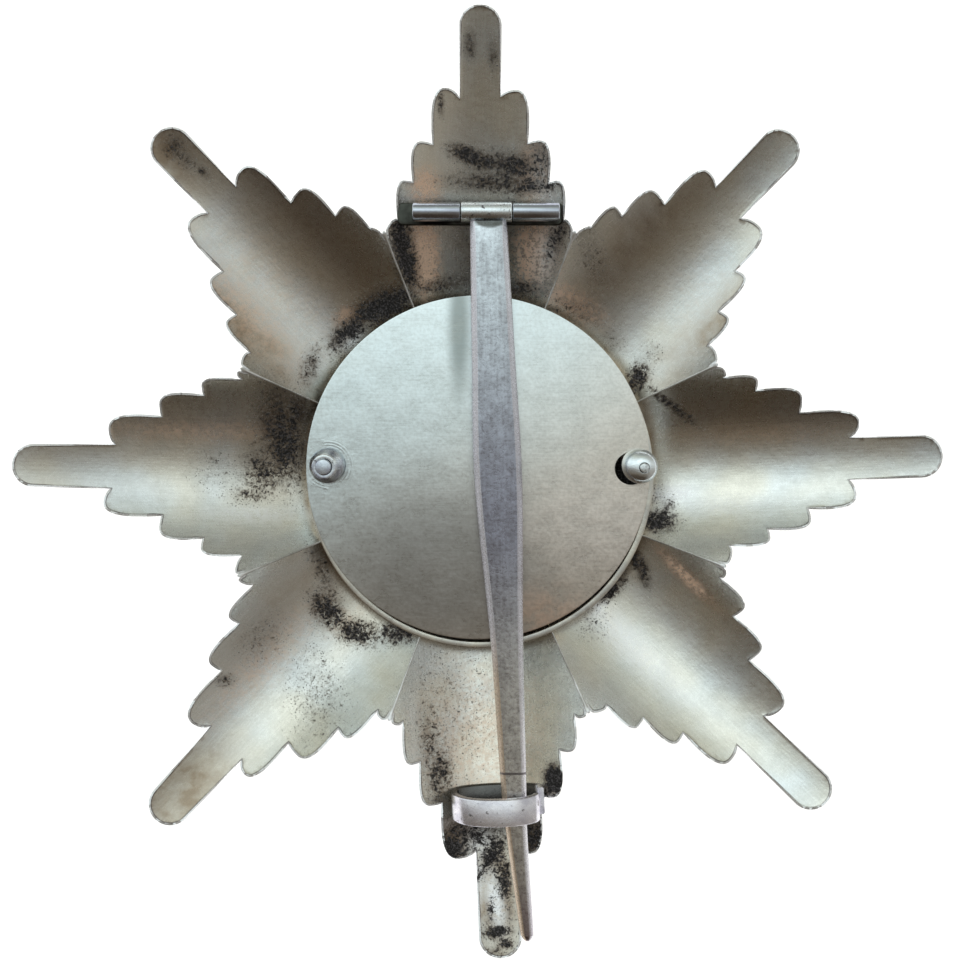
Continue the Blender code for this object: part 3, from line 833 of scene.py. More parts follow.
def make_disc(material):
    """The flat back disc with its two holes."""
    bm = bmesh.new()
    bottom = DISC_LOW.z
    radius = (DISC_HIGH.x - DISC_LOW.x) / 2.0
    shifted = Vector((POST_RIGHT.x + RIGHT_HOLE_SHIFT[0] * MM, POST_RIGHT.y + RIGHT_HOLE_SHIFT[1] * MM))
    edges = ring_of(bm, circle(DISC_CENTRE, radius, DISC_STEPS), bottom)
    edges += ring_of(bm, circle(POST_LEFT, (POST_RADIUS + POST_GAP) * MM, HOLE_STEPS), bottom)
    edges += ring_of(bm, circle(shifted, RIGHT_HOLE * MM, HOLE_STEPS), bottom)
    bmesh.ops.triangle_fill(bm, use_beauty=True, use_dissolve=False, edges=edges)
    bmesh.ops.inset_region(
        bm, faces=bm.faces[:], thickness=DISC_SUPPORT * MM, use_even_offset=True, use_boundary=True
    )
    top = bmesh.ops.extrude_face_region(bm, geom=bm.faces[:])
    top_verts = [item for item in top["geom"] if isinstance(item, bmesh.types.BMVert)]
    bmesh.ops.translate(bm, verts=top_verts, vec=(0.0, 0.0, DISC_HIGH.z - DISC_LOW.z))
    bmesh.ops.recalc_face_normals(bm, faces=bm.faces)
    soften(bm, 0.1, least=60.0)
    return finish_piece("back_cover", bm, material, STAR, "disc_silver", "back_disc")


def make_medallion(material):
    """The plain front medallion."""
    radius = (MEDALLION_HIGH.x - MEDALLION_LOW.x) / 2.0 / MM
    profile = (
        (0.0, MEDALLION_RECESS),
        (radius - MEDALLION_RIM - RECESS_FLARE, MEDALLION_RECESS),
        (radius - MEDALLION_RIM, 0.0),
        (radius, 0.0),
        (radius, MEDALLION_HEIGHT),
        (0.0, MEDALLION_HEIGHT),
    )
    bm = spun(profile, at(0.0, 0.0, 0.0), steps=192, closed=False)
    soften(bm, 0.18, least=20.0)
    return finish_piece("front_boss", bm, material, STAR, "front_gilt", "front_medallion")


def make_post(name, post, heights, radius, material, edge=0.1, lean=(0.0, 0.0)):
    """A post of the medallion or its riveted end, its edge broken."""
    foot, top = heights
    profile = ((0.0, foot), (radius, foot), (radius, top), (0.0, top))
    bm = spun(profile, Vector((post.x, post.y, 0.0)), steps=48, closed=False)
    soften(bm, edge)
    lean_over(bm, lean)
    return finish_piece(name, bm, material, STAR, "polished_silver", "front_medallion")


def make_nut(name, outline, post, cad_node, material, bore=POST_RADIUS + NUT_GAP, lean=(0.0, 0.0)):
    """A turned nut round a post."""
    top = outline[-1][1]
    profile = [(radius, NUT_SEAT + height) for radius, height in outline]
    profile += [(bore, NUT_SEAT + top), (bore, NUT_SEAT)]
    bm = spun(profile, Vector((post.x, post.y, 0.0)), steps=72)
    soften(bm, 0.05, least=40.0)
    lean_over(bm, lean)
    return finish_piece(name, bm, material, STAR, "polished_silver", cad_node)


def lean_over(bm, lean):
    """Lean a piece sideways above the nuts' seat."""
    for vert in bm.verts:
        rise = max(0.0, vert.co.z - NUT_SEAT * MM)
        vert.co.x += rise * lean[0]
        vert.co.y += rise * lean[1]


# Hinge, catch and pin

def make_knuckle(name, span, material, body, slot, cad_node, radius=KNUCKLE_RADIUS):
    """A knuckle of the hinge, its ends broken."""
    left, right = span
    profile = ((KNUCKLE_BORE, left), (radius, left), (radius, right), (KNUCKLE_BORE, right))
    place = Vector((STAR_CENTRE.x, HINGE.y, HINGE.z))
    bm = spun(profile, place, steps=64, axis="X")
    soften(bm, 0.09)
    return finish_piece(name, bm, material, body, slot, cad_node)


def make_rod(material):
    """The wire that the hinge turns on."""
    half = (ROD_HIGH.x - ROD_LOW.x) / 2.0 / MM
    profile = ((0.0, -half), (ROD_RADIUS, -half), (ROD_RADIUS, half), (0.0, half))
    bm = spun(profile, HINGE, steps=32, closed=False, axis="X")
    soften(bm, 0.08)
    return finish_piece("hinge_wire", bm, material, STAR, "rod_silver", "hinge_rod")


def make_bridge(material):
    """The plate that bridges the top ray and carries the hinge."""
    bm = bmesh.new()
    bmesh.ops.create_cube(bm, size=1.0)
    size = Vector((BRIDGE_RIGHT - BRIDGE_LEFT, 2.0 * BRIDGE_HALF_WIDTH, BRIDGE_THICKNESS)) * MM
    bmesh.ops.scale(bm, verts=bm.verts, vec=size)
    middle = Vector(((BRIDGE_LEFT + BRIDGE_RIGHT) / 2.0 * MM, 0.0, -BRIDGE_THICKNESS / 2.0 * MM))
    place = Vector((STAR_CENTRE.x, HINGE.y, BRIDGE_TOP * MM))
    bmesh.ops.translate(bm, verts=bm.verts, vec=place + middle)
    upright = [edge for edge in bm.edges if abs(edge.verts[0].co.z - edge.verts[1].co.z) > 0.1 * MM]
    round_edges(bm, upright, BRIDGE_CORNER, segments=6)
    soften(bm, 0.1, least=60.0)
    return finish_piece("bridge_plate", bm, material, STAR, "silver_gilt", "star_body")


def make_saddle(name, span, material):
    """Solder between the bridge plate and a fixed knuckle."""
    low = BRIDGE_TOP - SADDLE_SINK
    side = ((SADDLE_FOOT, low), (SADDLE_WAIST, low + SADDLE_WAIST_RISE), (SADDLE_NECK, HINGE.z / MM))
    section = [(-y, z) for y, z in side] + list(reversed(side))
    rings = []
    for share in (0.0, 0.33, 0.67, 1.0):
        x = span[0] + SADDLE_INSET + (span[1] - span[0] - 2.0 * SADDLE_INSET) * share
        rings.append([Vector((STAR_CENTRE.x + x * MM, HINGE.y + y * MM, z * MM)) for y, z in section])
    return finish_piece(name, lofted(rings), material, STAR, "silver_gilt", "star_body")


def make_catch(material):
    """The catch: a strip bent to a loop, open at its upper right."""
    rows = smooth_rows(CATCH_BENDS, [CATCH_STEPS] * (len(CATCH_BENDS) - 1))
    path = [Vector(row) for row in rows]
    direction = Matrix.Rotation(math.radians(RAYS[CATCH_RAY][1]), 3, "Z")
    middle = (CATCH_NEAR + CATCH_FAR) / 2.0
    half_width = (CATCH_FAR - CATCH_NEAR) / 2.0 - CATCH_CORNER
    half_thick = CATCH_THICKNESS / 2.0 - CATCH_CORNER
    section = []
    for quarter, (side, lift) in enumerate(((1, 1), (-1, 1), (-1, -1), (1, -1))):
        for step in range(4):
            angle = math.radians(90.0 * quarter + 30.0 * step)
            section.append((
                side * half_width + CATCH_CORNER * math.cos(angle),
                lift * half_thick + CATCH_CORNER * math.sin(angle),
            ))
    rings = []
    for index, point in enumerate(path):
        run = (path[min(index + 1, len(path) - 1)] - path[max(index - 1, 0)]).normalized()
        side = Vector((run.y, -run.x))
        ring = []
        for wide, thick in section:
            across, height = point + side * thick
            reach = middle + wide - CATCH_SHEAR * (CATCH_CROWN - height)
            place = Vector((reach, across, height + CATCH_TILT * wide)) * MM
            ring.append(at(0.0, 0.0, 0.0) + direction @ place)
        rings.append(ring)
    return finish_piece("catch_strip", lofted(rings), material, STAR, "silver_gilt", "star_body")


def pin_ring(along, middle, half, height, thickness):
    """The pin's section at one place: flat top and bottom, bevelled, edges softened."""
    rise = thickness / 2.0
    cut = min(PIN_CHAMFER * thickness, half / 2.0)
    corners = (
        (half, rise - cut), (half - cut, rise), (-half + cut, rise), (-half, rise - cut),
        (-half, -rise + cut), (-half + cut, -rise), (half - cut, -rise), (half, -rise + cut),
    )
    corners = [Vector(corner) for corner in corners]
    softness = min(PIN_SOFTNESS, cut / 3.0)
    ring = []
    for index, corner in enumerate(corners):
        before = (corners[index - 1] - corner).normalized() * softness
        after = (corners[(index + 1) % len(corners)] - corner).normalized() * softness
        for side in (before, (before + after) * 0.3, after):
            across, up = corner + side
            ring.append(Vector((
                STAR_CENTRE.x + (middle + across) * MM, HINGE.y + along * MM, (height + up) * MM
            )))
    return ring


def make_pin_blade(material):
    """The long tapering pin."""
    counts = [max(2, round(abs(a[0] - b[0]) / PIN_STATION)) for a, b in zip(PIN_SECTIONS, PIN_SECTIONS[1:])]
    bm = lofted([pin_ring(*row) for row in smooth_rows(PIN_SECTIONS, counts)])
    # Bevel faces are marked worn: partly wear, partly a painted highlight
    worn = bm.loops.layers.float.new("worn")
    for face in bm.faces:
        bevelled = BEVEL_LEAN < abs(face.normal.x) and face.normal.z > 0.0
        strength = 1.0 if face.normal.x < 0.0 else RIGHT_BEVEL_WEAR_AND_HIGHLIGHT
        for loop in face.loops:
            loop[worn] = bevelled * strength
    return finish_piece("pin_blade", bm, material, PIN, "pin_silver", "pin", crease=50.0)


# Materials

class Value:
    """A number, place or colour in a shader tree, and the nodes that work on it."""

    def __init__(self, tree, socket):
        self.tree = tree
        self.socket = socket

    def maths(self, operation, other=0.0):
        """A sum of this number and another."""
        return node(self.tree, "Math", 0, {0: self, 1: other}, operation=operation)

    def __add__(self, other):
        return self.maths("ADD", other)

    def __sub__(self, other):
        return self.maths("SUBTRACT", other)

    def __mul__(self, other):
        return self.maths("MULTIPLY", other)

    def most(self, other):
        """The larger of this number and another."""
        return self.maths("MAXIMUM", other)

    def ramp(self, low, high, to_low=0.0, to_high=1.0, curve="SMOOTHSTEP"):
        """A step of this number between two limits."""
        inputs = {"Value": self, "From Min": low, "From Max": high, "To Min": to_low, "To Max": to_high}
        return node(self.tree, "MapRange", "Result", inputs, interpolation_type=curve)

    def between(self, first, second):
        """A colour between two, with this number as its share of the second."""
        first, second = (end if isinstance(end, Value) else (*end, 1.0) for end in (first, second))
        return node(self.tree, "Mix", 2, {0: self, 6: first, 7: second}, data_type="RGBA")

    def part(self, axis):
        """One coordinate of this place."""
        return node(self.tree, "SeparateXYZ", axis, {"Vector": self})

    def towards(self, direction):
        """How far this place lies along a direction."""
        return node(self.tree, "VectorMath", "Value", {0: self, 1: direction}, operation="DOT_PRODUCT")

    def noise(self, scale, detail=4.0, rough=0.6, warp=0.0):
        """A noise pattern over this place, its features about 1/scale across."""
        inputs = {"Vector": self, "Scale": scale, "Detail": detail, "Roughness": rough, "Distortion": warp}
        return node(self.tree, "TexNoise", "Fac", inputs)

    def bump(self, distance, normal=None):
        """A bump of so many millimetres after this number, over an earlier one."""
        inputs = {"Height": self, "Strength": 1.0, "Distance": distance * MM}
        if normal is not None:
            inputs["Normal"] = normal
        return node(self.tree, "Bump", "Normal", inputs)


def set_input(tree, socket, value):
    """Give a socket a number, or link it to a value."""
    if isinstance(value, Value):
        tree.links.new(value.socket, socket)
    else:
        socket.default_value = value


def node(tree, kind, output, inputs=None, **settings):
    """One output of a new shader node with its settings and inputs."""
    made = tree.nodes.new("ShaderNode" + kind)
    for key, setting in settings.items():
        setattr(made, key, setting)
    for key, value in (inputs or {}).items():
        set_input(tree, made.inputs[key], value)
    return Value(tree, made.outputs[output])


def object_place(tree, scale=(1.0, 1.0, 1.0), turn=0.0, centre=(0.0, 0.0, 0.0)):
    """Object coordinates in millimetres, centred, turned and stretched."""
    inputs = {
        "Vector": node(tree, "TexCoord", "Object"),
        "Location": tuple(-value / MM * size for value, size in zip(centre, scale)),
        "Rotation": (0.0, 0.0, turn),
        "Scale": tuple(size / MM for size in scale),
    }
    return node(tree, "Mapping", "Vector", inputs)


def distance_from(tree, x, y, turn=0.0, stretch=1.0):
    """Distance in millimetres from a place beside the star's centre, stretched one way."""
    middle = object_place(tree, centre=at(x, y, 0.0))
    inputs = {"Vector": middle, "Rotation": (0.0, 0.0, turn), "Scale": (stretch, 1.0, 0.0)}
    flat = node(tree, "Mapping", "Vector", inputs)
    return node(tree, "VectorMath", "Value", {0: flat}, operation="LENGTH")


def distance_from_axis(tree, place):
    """Distance in millimetres from an upright axis through a place in metres."""
    return distance_from(tree, (place.x - STAR_CENTRE.x) / MM, (place.y - STAR_CENTRE.y) / MM)


def attribute(tree, name):
    """A number stored on the mesh."""
    return node(tree, "Attribute", "Fac", attribute_name=name)


def start_material(name):
    """A new material and its tree."""
    material = bpy.data.materials.new(name)
    material.use_nodes = True
    return material, material.node_tree


def finish_material(material, normal=None, bumps=(), **inputs):
    """Set the shader's inputs, with bumps over the normal, each a height and a distance."""
    tree = material.node_tree
    shader = tree.nodes["Principled BSDF"]
    for height, distance in bumps:
        normal = height.bump(distance, normal)
    if normal is not None:
        inputs["Normal"] = normal
    for name, value in inputs.items():
        set_input(tree, shader.inputs[name.replace("_", " ")], value)
    return material


# Colours of the metals and of what lies on them, and of painted light and shade
SILVER = (0.88, 0.93, 0.96)
GILT = (0.92, 0.89, 0.80)
GOLD = (0.90, 0.72, 0.40)
COPPER = (0.96, 0.68, 0.52)
BROWN_STAIN = (0.13, 0.095, 0.07)
BROWN_FILM_AND_SHADE = (0.36, 0.29, 0.22)
GREY_STAIN = (0.34, 0.34, 0.31)
CRUST = (0.010, 0.008, 0.008)
CRUST_GREY = (0.13, 0.12, 0.13)
EDGE_SILVER = (0.96, 0.96, 0.99)
EDGE_LAVENDER = (0.78, 0.76, 0.84)
EDGE_BRONZE = (0.74, 0.60, 0.48)
EDGE_LINE = (0.14, 0.12, 0.13)
SOLDER_GREY = (0.60, 0.59, 0.57)
# Painted on the disc: a pale gleam, the pin's shadow, shade, and a reflection cool on one side and warm on
# the other
DISC_GLOW = (1.00, 0.93, 0.87)
DISC_PIN_SHADOW = (0.26, 0.30, 0.30)
DISC_SHADE = (0.46, 0.46, 0.46)
DISC_COOL_REFLECTION = (0.84, 0.95, 1.00)
DISC_WARM_REFLECTION = (0.92, 0.84, 0.76)
LAVENDER = (0.43, 0.44, 0.54)
BLUE_SILVER = (0.76, 0.83, 0.90)
WARM_SILVER = (0.88, 0.86, 0.82)
TIP_MAUVE = (0.42, 0.34, 0.38)
TUBE_SILVER = (0.60, 0.66, 0.73)
CATCH_LIGHT = (0.97, 0.94, 1.00)
CATCH_DARK = (0.62, 0.60, 0.68)
# Dark greenish tarnish and painted shade of the bridge plate
PLATE_GREEN_SHADE = (0.08, 0.085, 0.075)
# Painted shade: the wire, the pin in front of its knuckle and the catch's low inside
SHADE_DARK = (0.07, 0.07, 0.06)

# How much more steeply the light shows a ray rising, its trough sinking and the disc
# crowning than the solids do
RISE_SHOWN = 0.17
TROUGH_SHOWN = 0.0097
CROWN_SHOWN = -0.0030

# Stretch of the satin streaks along a ray and of the hairlines on the disc
SATIN_STRETCH = (0.25, 5.0, 1.0)
HAIR_STRETCH = (0.3, 6.0, 1.0)
HAIR_TURN = 0.6

# Turning marks round the left nut: marks to a millimetre, and where they fade
NUT_MARKS = 7.0
NUT_MARKS_FULL = 1.9
NUT_MARKS_END = 3.4

# Along the pin, as Y in millimetres: where it is darkest, fully blue and fully warm, and where
# its left bevel turns bronze. Then the painted shade in front of its knuckle
PIN_DARKEST = -4.0
PIN_BLUE = 23.0
PIN_WARM = -24.0
BRONZE_FROM = -12.0
BRONZE_TO = -20.0
KNUCKLE_SHADE = (0.9, 25.1)
KNUCKLE_SHADE_FULL = 1.75
KNUCKLE_SHADE_END = 2.05


def ray_shape(grain):
    """A ray's rise towards its tip and the depth of its trough, as the light shows them."""
    across = grain.part("Y")
    return (grain.part("X") * RISE_SHOWN + across * across * TROUGH_SHOWN).bump(1.0)


def gilt_material():
    """Worn silver-gilt of the rays: satin along each ray, with brown patina and painted shade beside the
    disc, stained and tarnished, its cut edges bright as wear and painted highlight.
    """
    material, tree = start_material("ray_silver_gilt")
    grain = node(tree, "UVMap", "UV", uv_map="grain")
    place = object_place(tree)
    streaks = node(tree, "Mapping", "Vector", {"Vector": grain, "Scale": SATIN_STRETCH}).noise(1.0)
    clouds = place.noise(0.13, detail=2.0)
    patches = place.noise(0.5)
    mottle = place.noise(2.2, detail=5.0, rough=0.7)
    speckle = place.noise(6.5, detail=2.0)
    flecks = place.noise(2.4, detail=5.0, rough=0.7, warp=0.9)
    colour = clouds.ramp(0.3, 0.7).between(SILVER, GILT)
    shade = patches.ramp(0.35, 0.65, 0.14, 0.0) + speckle.ramp(0.35, 0.65, 0.10, 0.0)
    shade += streaks.ramp(0.35, 0.65, 0.10, 0.0)
    colour = shade.between(colour, GREY_STAIN)
    # Brown patina, and painted shade on the rays beside the disc
    film_and_shade = attribute(tree, "film_and_shade") * patches.ramp(0.25, 0.75, 0.7, 1.3)
    colour = film_and_shade.between(colour, BROWN_FILM_AND_SHADE)
    blush = attribute(tree, "blush") * mottle.ramp(0.3, 0.7, 0.5, 1.2)
    colour = blush.ramp(0.1, 0.9).between(colour, COPPER)
    tarnish = attribute(tree, "tarnish")
    halo = tarnish.ramp(0.1, 0.8, 0.0, 0.7) * mottle.ramp(0.3, 0.6, 0.4, 1.1)
    colour = halo.between(colour, BROWN_STAIN)
    stained = tarnish.ramp(0.05, 0.25)
    spread = tarnish * 0.34 + flecks * 0.9 + mottle * 0.35
    grit = spread.ramp(0.78, 0.87, 0.0, 0.65) * stained
    colour = grit.between(colour, BROWN_STAIN)
    specks = (speckle + tarnish * 0.12).ramp(0.66, 0.71)
    crust = spread.ramp(0.87, 0.91).most(specks) * stained
    bare = attribute(tree, "bare") * mottle.ramp(0.35, 0.6, 0.5, 1.2)
    colour = bare.between(colour, EDGE_SILVER)
    # Cut edges: bright as worn bare silver and as a painted highlight, with a dark line beside them
    rim = attribute(tree, "rim")
    edge = rim.ramp(0.9, 1.0)
    line = (rim.ramp(0.4, 0.5) - edge) * patches.ramp(0.4, 0.6, 0.15, 0.75)
    colour = line.between(colour, EDGE_LINE)
    colour = edge.between(colour, EDGE_SILVER)
    colour = crust.between(colour, speckle.ramp(0.48, 0.66).between(CRUST, CRUST_GREY))
    matt = (edge * 0.5).most(blush.ramp(0.3, 1.1, 0.0, 0.95)).most(bare * 0.35)
    return finish_material(
        material, ray_shape(grain), ((streaks, 0.006), (patches, 0.03), (mottle, 0.008), (crust, 0.02)),
        Base_Color=colour, Roughness=mottle * 0.2 + crust * 0.45 + 0.18, Metallic=crust * -0.9 - matt + 1.0,
    )


def disc_material():
    """Satin silver of the disc, mottled, with hairlines, turning marks round a nut, a painted reflection,
    gleam and shade, and the pin's painted shadow.
    """
    material, tree = start_material("disc_satin_silver")
    place = object_place(tree)
    mottle = place.noise(3.2, rough=0.65)
    patches = place.noise(0.45)
    clouds = place.noise(0.16, detail=2.0)
    hairs = object_place(tree, scale=HAIR_STRETCH, turn=HAIR_TURN).noise(1.0, detail=3.0)
    # Painted reflection: cool on one side of the disc, warm on the other
    reflection_drift = place.towards(DISC_WARM_REFLECTION_WAY).ramp(-12.0, 14.0) + clouds * 0.2
    colour = reflection_drift.between(DISC_COOL_REFLECTION, DISC_WARM_REFLECTION)
    # Painted shade, a painted pale gleam and the pin's painted shadow
    for where, full, end, strength, tint in (
        (DISC_SHADE_PLACE, 3.0, 12.0, 0.80, DISC_SHADE),
        (DISC_GLOW_PLACE, 1.5, 7.5, 1.0, DISC_GLOW),
        (DISC_PIN_SHADOW_PLACE, 2.0, 10.0, 0.85, DISC_PIN_SHADOW),
    ):
        colour = distance_from(tree, *where).ramp(full, end, strength, 0.0).between(colour, tint)
    copper = distance_from(tree, *DISC_COPPER_PLACE).ramp(0.5, 4.5, 0.6, 0.0) * patches.ramp(0.3, 0.6)
    colour = copper.between(colour, COPPER)
    shade = patches.ramp(0.35, 0.65, 0.16, 0.0) + mottle.ramp(0.35, 0.65, 0.22, 0.0)
    shade += hairs.ramp(0.3, 0.5, 0.10, 0.0)
    colour = shade.between(colour, GREY_STAIN)
    from_nut = distance_from_axis(tree, POST_LEFT)
    inputs = {"W": from_nut * NUT_MARKS, "Scale": 1.0}
    turned = node(tree, "TexNoise", "Fac", inputs, noise_dimensions="1D")
    rings = turned * from_nut.ramp(NUT_MARKS_FULL, NUT_MARKS_END, 1.0, 0.0) * patches.ramp(0.4, 0.6)
    colour = rings.ramp(0.35, 0.7, 0.0, 0.4).between(colour, EDGE_LINE)
    radius = distance_from_axis(tree, DISC_CENTRE)
    crown = (radius * radius * CROWN_SHOWN).bump(1.0)
    return finish_material(
        material, crown, ((patches, 0.03), (mottle, 0.006), (hairs, 0.004), (rings, 0.02)),
        Base_Color=colour, Roughness=mottle * 0.16 + patches * 0.1 + 0.17, Metallic=1.0,
    )


def pin_material():
    """Worn silver of the pin: pitted and darkest at its middle, bright along its bevels."""
    material, tree = start_material("pin_silver")
    place = object_place(tree)
    mottle = place.noise(3.0, detail=5.0, rough=0.7)
    patches = place.noise(0.6)
    streaks = object_place(tree, scale=(5.0, 0.3, 5.0)).noise(1.0, detail=3.0)
    along = place.part("Y")
    colour = along.ramp(PIN_DARKEST, PIN_BLUE).between(LAVENDER, BLUE_SILVER)
    colour = along.ramp(PIN_DARKEST, PIN_WARM).between(colour, WARM_SILVER)
    grime = mottle.ramp(0.35, 0.6, 0.30, 0.0) + patches.ramp(0.35, 0.65, 0.25, 0.0)
    grime += streaks.ramp(0.35, 0.65, 0.15, 0.0)
    colour = grime.between(colour, EDGE_LINE)
    # Painted shade on the pin in front of its knuckle
    painted_shade = distance_from(tree, *KNUCKLE_SHADE).ramp(KNUCKLE_SHADE_FULL, KNUCKLE_SHADE_END, 0.8, 0.0)
    colour = painted_shade.between(colour, SHADE_DARK)
    notch = HINGE.y / MM + PIN_NOTCH
    patch = along.ramp(notch, notch - 0.1) * along.ramp(notch - PIN_PATCH, notch) * mottle.ramp(0.35, 0.6)
    colour = patch.between(colour, WARM_SILVER)
    tip = along.ramp(notch - PIN_TIP_FROM, notch - PIN_TIP_TO, 0.0, 0.7)
    colour = tip.between(colour, TIP_MAUVE)
    # Bevels brightened: partly wear, partly a painted highlight
    bevel = attribute(tree, "worn")
    worn = bevel * patches.ramp(0.25, 0.5, 0.8, 1.0)
    tan = bevel.ramp(0.7, 0.9) * along.ramp(BRONZE_FROM, BRONZE_TO)
    colour = worn.between(colour, tan.between(EDGE_LAVENDER, EDGE_BRONZE))
    from_notch = (along - notch).maths("ABSOLUTE")
    colour = from_notch.ramp(0.06, 0.16, 0.85, 0.0).between(colour, EDGE_LINE)
    return finish_material(
        material, None, ((streaks, 0.006), (mottle, 0.02)),
        Base_Color=colour, Roughness=mottle * 0.2 + 0.18, Metallic=worn.ramp(0.0, 1.0, 1.0, 0.65),
    )


def brushed_material(name, light, dark, stretch, roughness, pits=0.0, shade_below=None):
    """Drawn or filed silver: streaks along one axis, pits with grime in them, and painted shade below a
    given height.
    """
    material, tree = start_material(name)
    place = object_place(tree)
    streaks = object_place(tree, scale=stretch).noise(1.0, detail=3.0)
    mottle = place.noise(1.8, detail=5.0, rough=0.7)
    tone = streaks * 0.6 + place.noise(0.3, detail=2.0) * 0.4
    colour = tone.ramp(0.35, 0.65).between(dark, light)
    colour = (mottle + pits).ramp(0.70, 0.78).between(colour, EDGE_LINE)
    # Painted shade on the low inside of the strip
    if shade_below:
        low = place.part("Z").ramp(shade_below - CATCH_SHADE_DEPTH, shade_below, 0.9, 0.0)
        painted_shade = low * place.part("X").ramp(CATCH_LEG, CATCH_LEG + 0.4, 1.0, 0.0)
        colour = painted_shade.between(colour, SHADE_DARK)
    return finish_material(
        material, None, ((streaks, 0.006), (mottle, 0.012)),
        Base_Color=colour, Roughness=mottle * 0.18 + (roughness - 0.08), Metallic=1.0,
    )


def floor_material():
    """Plain white paper on a light table."""
    material, _ = start_material("white_table")
    return finish_material(
        material, Base_Color=(0.9, 0.9, 0.9, 1.0), Roughness=0.9, Specular_IOR_Level=0.1,
        Emission_Color=(1.0, 1.0, 1.0, 1.0), Emission_Strength=0.75,
    )


# Stage

# The room's light by direction: share from the warm dim side to the cool bright side,
# and the light's colour there
ROOM_LIGHT = (
    (0.00, (0.056, 0.041, 0.026)),
    (0.17, (0.066, 0.048, 0.034)),
    (0.24, (0.150, 0.120, 0.088)),
    (0.33, (0.165, 0.150, 0.125)),
    (0.40, (0.240, 0.215, 0.185)),
    (0.44, (0.260, 0.260, 0.245)),
    (0.49, (0.490, 0.490, 0.470)),
    (0.54, (0.660, 0.740, 0.720)),
    (0.60, (0.960, 1.060, 1.040)),
    (0.69, (1.080, 1.180, 1.160)),
    (0.78, (0.740, 0.820, 0.790)),
    (0.88, (0.520, 0.540, 0.450)),
    (0.95, (0.330, 0.340, 0.310)),
    (1.00, (0.280, 0.290, 0.260)),
)
ROOM_BRIGHT_SIDE = (0.07, 0.998, 0.0)

# The duller wall on the +X side: its colour, where it begins and is full, and its share
ROOM_SIDE_WALL = (0.40, 0.38, 0.34)
WALL_FROM = 0.12
WALL_TO = 0.60
WALL_SHARE = 0.65

# The window's lamp, and half the table's width, in metres and watts
WINDOW_PLACE = (-0.06, 0.20, 0.34)
WINDOW_SIZE = 0.16
WINDOW_POWER = 0.02
WINDOW_COLOUR = (0.92, 1.0, 1.0)
TABLE_HALF = 12.0


def light_room():
    """Soft daylight from one side of the room and a dim warm wall on the other."""
    world = bpy.data.worlds.new("room")
    world.use_nodes = True
    tree = world.node_tree
    way = node(tree, "TexCoord", "Generated")
    share = way.towards(ROOM_BRIGHT_SIDE).ramp(-1.0, 1.0, curve="LINEAR")
    light = node(tree, "ValToRGB", "Color", {"Fac": share})
    stops = light.socket.node.color_ramp.elements
    while len(stops) < len(ROOM_LIGHT):
        stops.new(0.5)
    for stop, (place, colour) in zip(stops, ROOM_LIGHT):
        stop.position = place
        stop.color = (*colour, 1.0)
    light = way.part("X").ramp(WALL_FROM, WALL_TO, 0.0, WALL_SHARE).between(light, ROOM_SIDE_WALL)
    set_input(tree, tree.nodes["Background"].inputs["Color"], light)
    bpy.context.scene.world = world


def add_lamp():
    """A soft square light that looks at the star."""
    lamp = bpy.data.lights.new("window", "AREA")
    lamp.size = WINDOW_SIZE
    lamp.energy = WINDOW_POWER
    lamp.color = WINDOW_COLOUR
    made = bpy.data.objects.new("window", lamp)
    made.location = WINDOW_PLACE
    made.rotation_euler = (-Vector(WINDOW_PLACE)).to_track_quat("-Z", "Y").to_euler()
    bpy.context.scene.collection.objects.link(made)


def add_floor():
    """The pale table."""
    bm = bmesh.new()
    bmesh.ops.create_grid(bm, x_segments=1, y_segments=1, size=TABLE_HALF)
    mesh = bpy.data.meshes.new("table")
    bm.to_mesh(mesh)
    bm.free()
    mesh.materials.append(floor_material())
    table = bpy.data.objects.new("table", mesh)
    bpy.context.scene.collection.objects.link(table)


def add_camera():
    """A camera straight above the star, its up side towards +Y."""
    camera = bpy.data.cameras.new("camera")
    camera.sensor_width = SENSOR
    camera.lens = SENSOR * (CAMERA_HEIGHT - RAY_HEIGHT) / (PHOTO_HEIGHT * PIXEL)
    camera.clip_start = 0.01
    camera.clip_end = 20.0
    made = bpy.data.objects.new("camera", camera)
    made.location = (0.0, 0.0, CAMERA_HEIGHT)
    bpy.context.scene.collection.objects.link(made)
    bpy.context.scene.camera = made


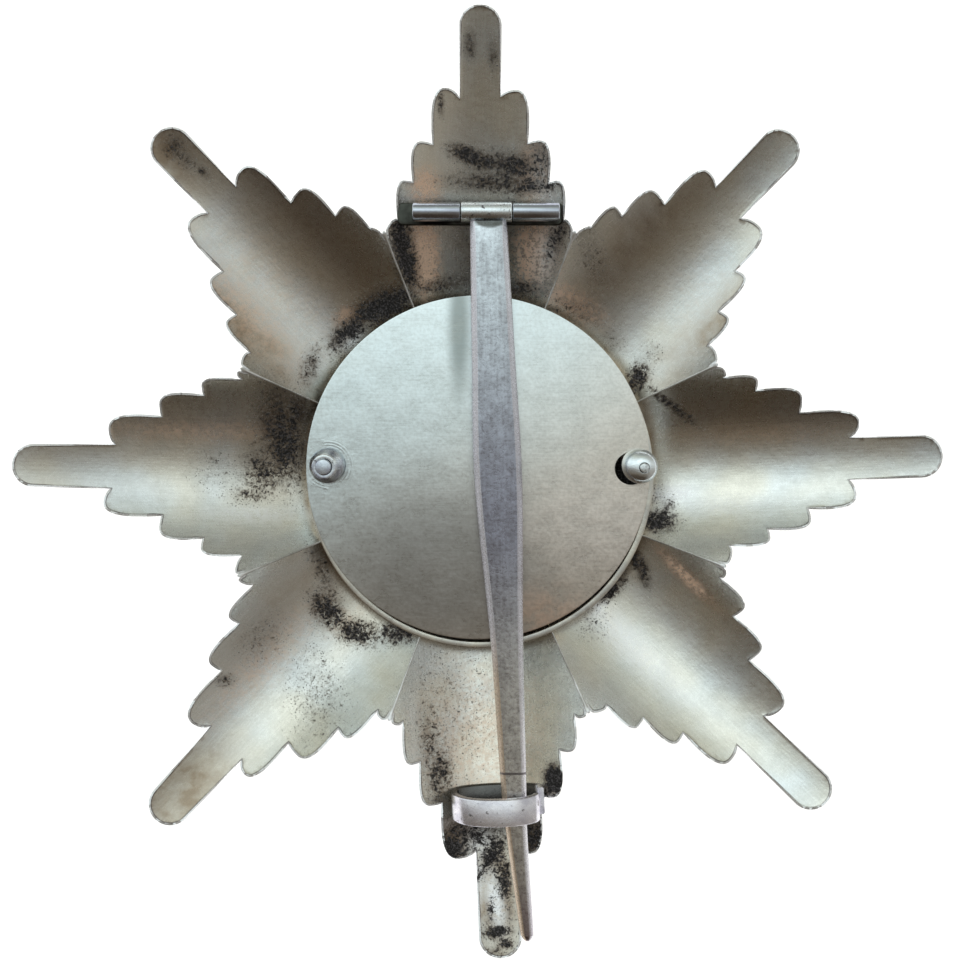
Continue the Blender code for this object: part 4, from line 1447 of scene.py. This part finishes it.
def build_star():
    """Every piece of the star."""
    gilt = gilt_material()
    solder = brushed_material("solder_silver", EDGE_SILVER, SOLDER_GREY, (0.4, 0.4, 0.4), 0.34)
    polish = brushed_material("polished_silver", SILVER, BLUE_SILVER, (0.2, 5.0, 5.0), 0.20, pits=0.02)
    tube = brushed_material("knuckle_silver", TUBE_SILVER, LAVENDER, (0.2, 5.0, 5.0), 0.16, pits=0.04)
    pitted = brushed_material("pitted_silver", SILVER, BLUE_SILVER, (0.8, 2.0, 2.0), 0.26, pits=0.12)
    pin_silver = pin_material()
    # With painted shade on its low inside
    catch_silver = brushed_material(
        "catch_silver", CATCH_LIGHT, CATCH_DARK, (0.5, 0.8, 0.8), 0.26, 0.10, CATCH_SHADE_BELOW
    )
    post_end = brushed_material("post_end", BLUE_SILVER, LAVENDER, (1.0, 1.0, 1.0), 0.24)
    worn_nut = brushed_material("worn_nut_silver", SILVER, LAVENDER, (1.2, 1.2, 1.2), 0.22, pits=0.10)
    rough_tip = brushed_material("riveted_tip", SILVER, EDGE_LINE, (4.0, 4.0, 4.0), 0.30, pits=0.12)
    # The wire is painted dark: painted shade in the gaps between the knuckles
    wire = brushed_material("wire_painted_shade", GREY_STAIN, SHADE_DARK, (0.3, 5.0, 5.0), 0.3)
    # The bridge plate and the saddles: dark greenish tarnish and painted shade under the knuckles
    plate = brushed_material("bridge_tarnish_and_shade", PLATE_GREEN_SHADE, CRUST, (0.5, 0.5, 0.5), 0.34, pits=0.05)
    front = brushed_material("front_gilt", GOLD, GILT, (1.5, 1.5, 1.5), 0.26)
    halves = half_angles()
    for index in range(len(RAYS)):
        make_ray(index, halves, gilt)
        make_solder(index, halves, solder)
    seat = brushed_material("seat_silver", GILT, SOLDER_GREY, (0.5, 0.5, 0.5), 0.28)
    make_seat_ring(seat)
    make_disc(disc_material())
    make_medallion(front)
    make_post("post_left", POST_LEFT, (POST_FOOT, LEFT_POST_TOP), POST_RADIUS, post_end, lean=LOW_NUT_LEAN)
    make_post("post_right", POST_RIGHT, (POST_FOOT, RIGHT_POST_TOP), POST_RADIUS, polish)
    make_post(
        "ball_tip", POST_RIGHT, (NUT_SEAT, BALL_TIP), BALL_TIP_RADIUS, rough_tip, BALL_TIP_EDGE, BALL_LEAN
    )
    make_nut("low_nut", LEFT_NUT, POST_LEFT, "nut_left", worn_nut, lean=LOW_NUT_LEAN)
    make_nut("ball_nut", RIGHT_NUT, POST_RIGHT, "nut_right", polish, BALL_TIP_RADIUS + BALL_GAP, BALL_LEAN)
    make_bridge(plate)
    for name, span in (("left", LEFT_KNUCKLE), ("right", RIGHT_KNUCKLE)):
        make_saddle("saddle_" + name, span, plate)
        make_knuckle("knuckle_" + name, span, tube, STAR, "silver_gilt", "star_body")
    make_rod(wire)
    make_catch(catch_silver)
    make_knuckle("knuckle_pin", MIDDLE_KNUCKLE, pitted, PIN, "pin_silver", "pin", MIDDLE_RADIUS)
    make_pin_blade(pin_silver)


bpy.context.scene.view_settings.view_transform = "Standard"
add_camera()
add_floor()
light_room()
add_lamp()
build_star()
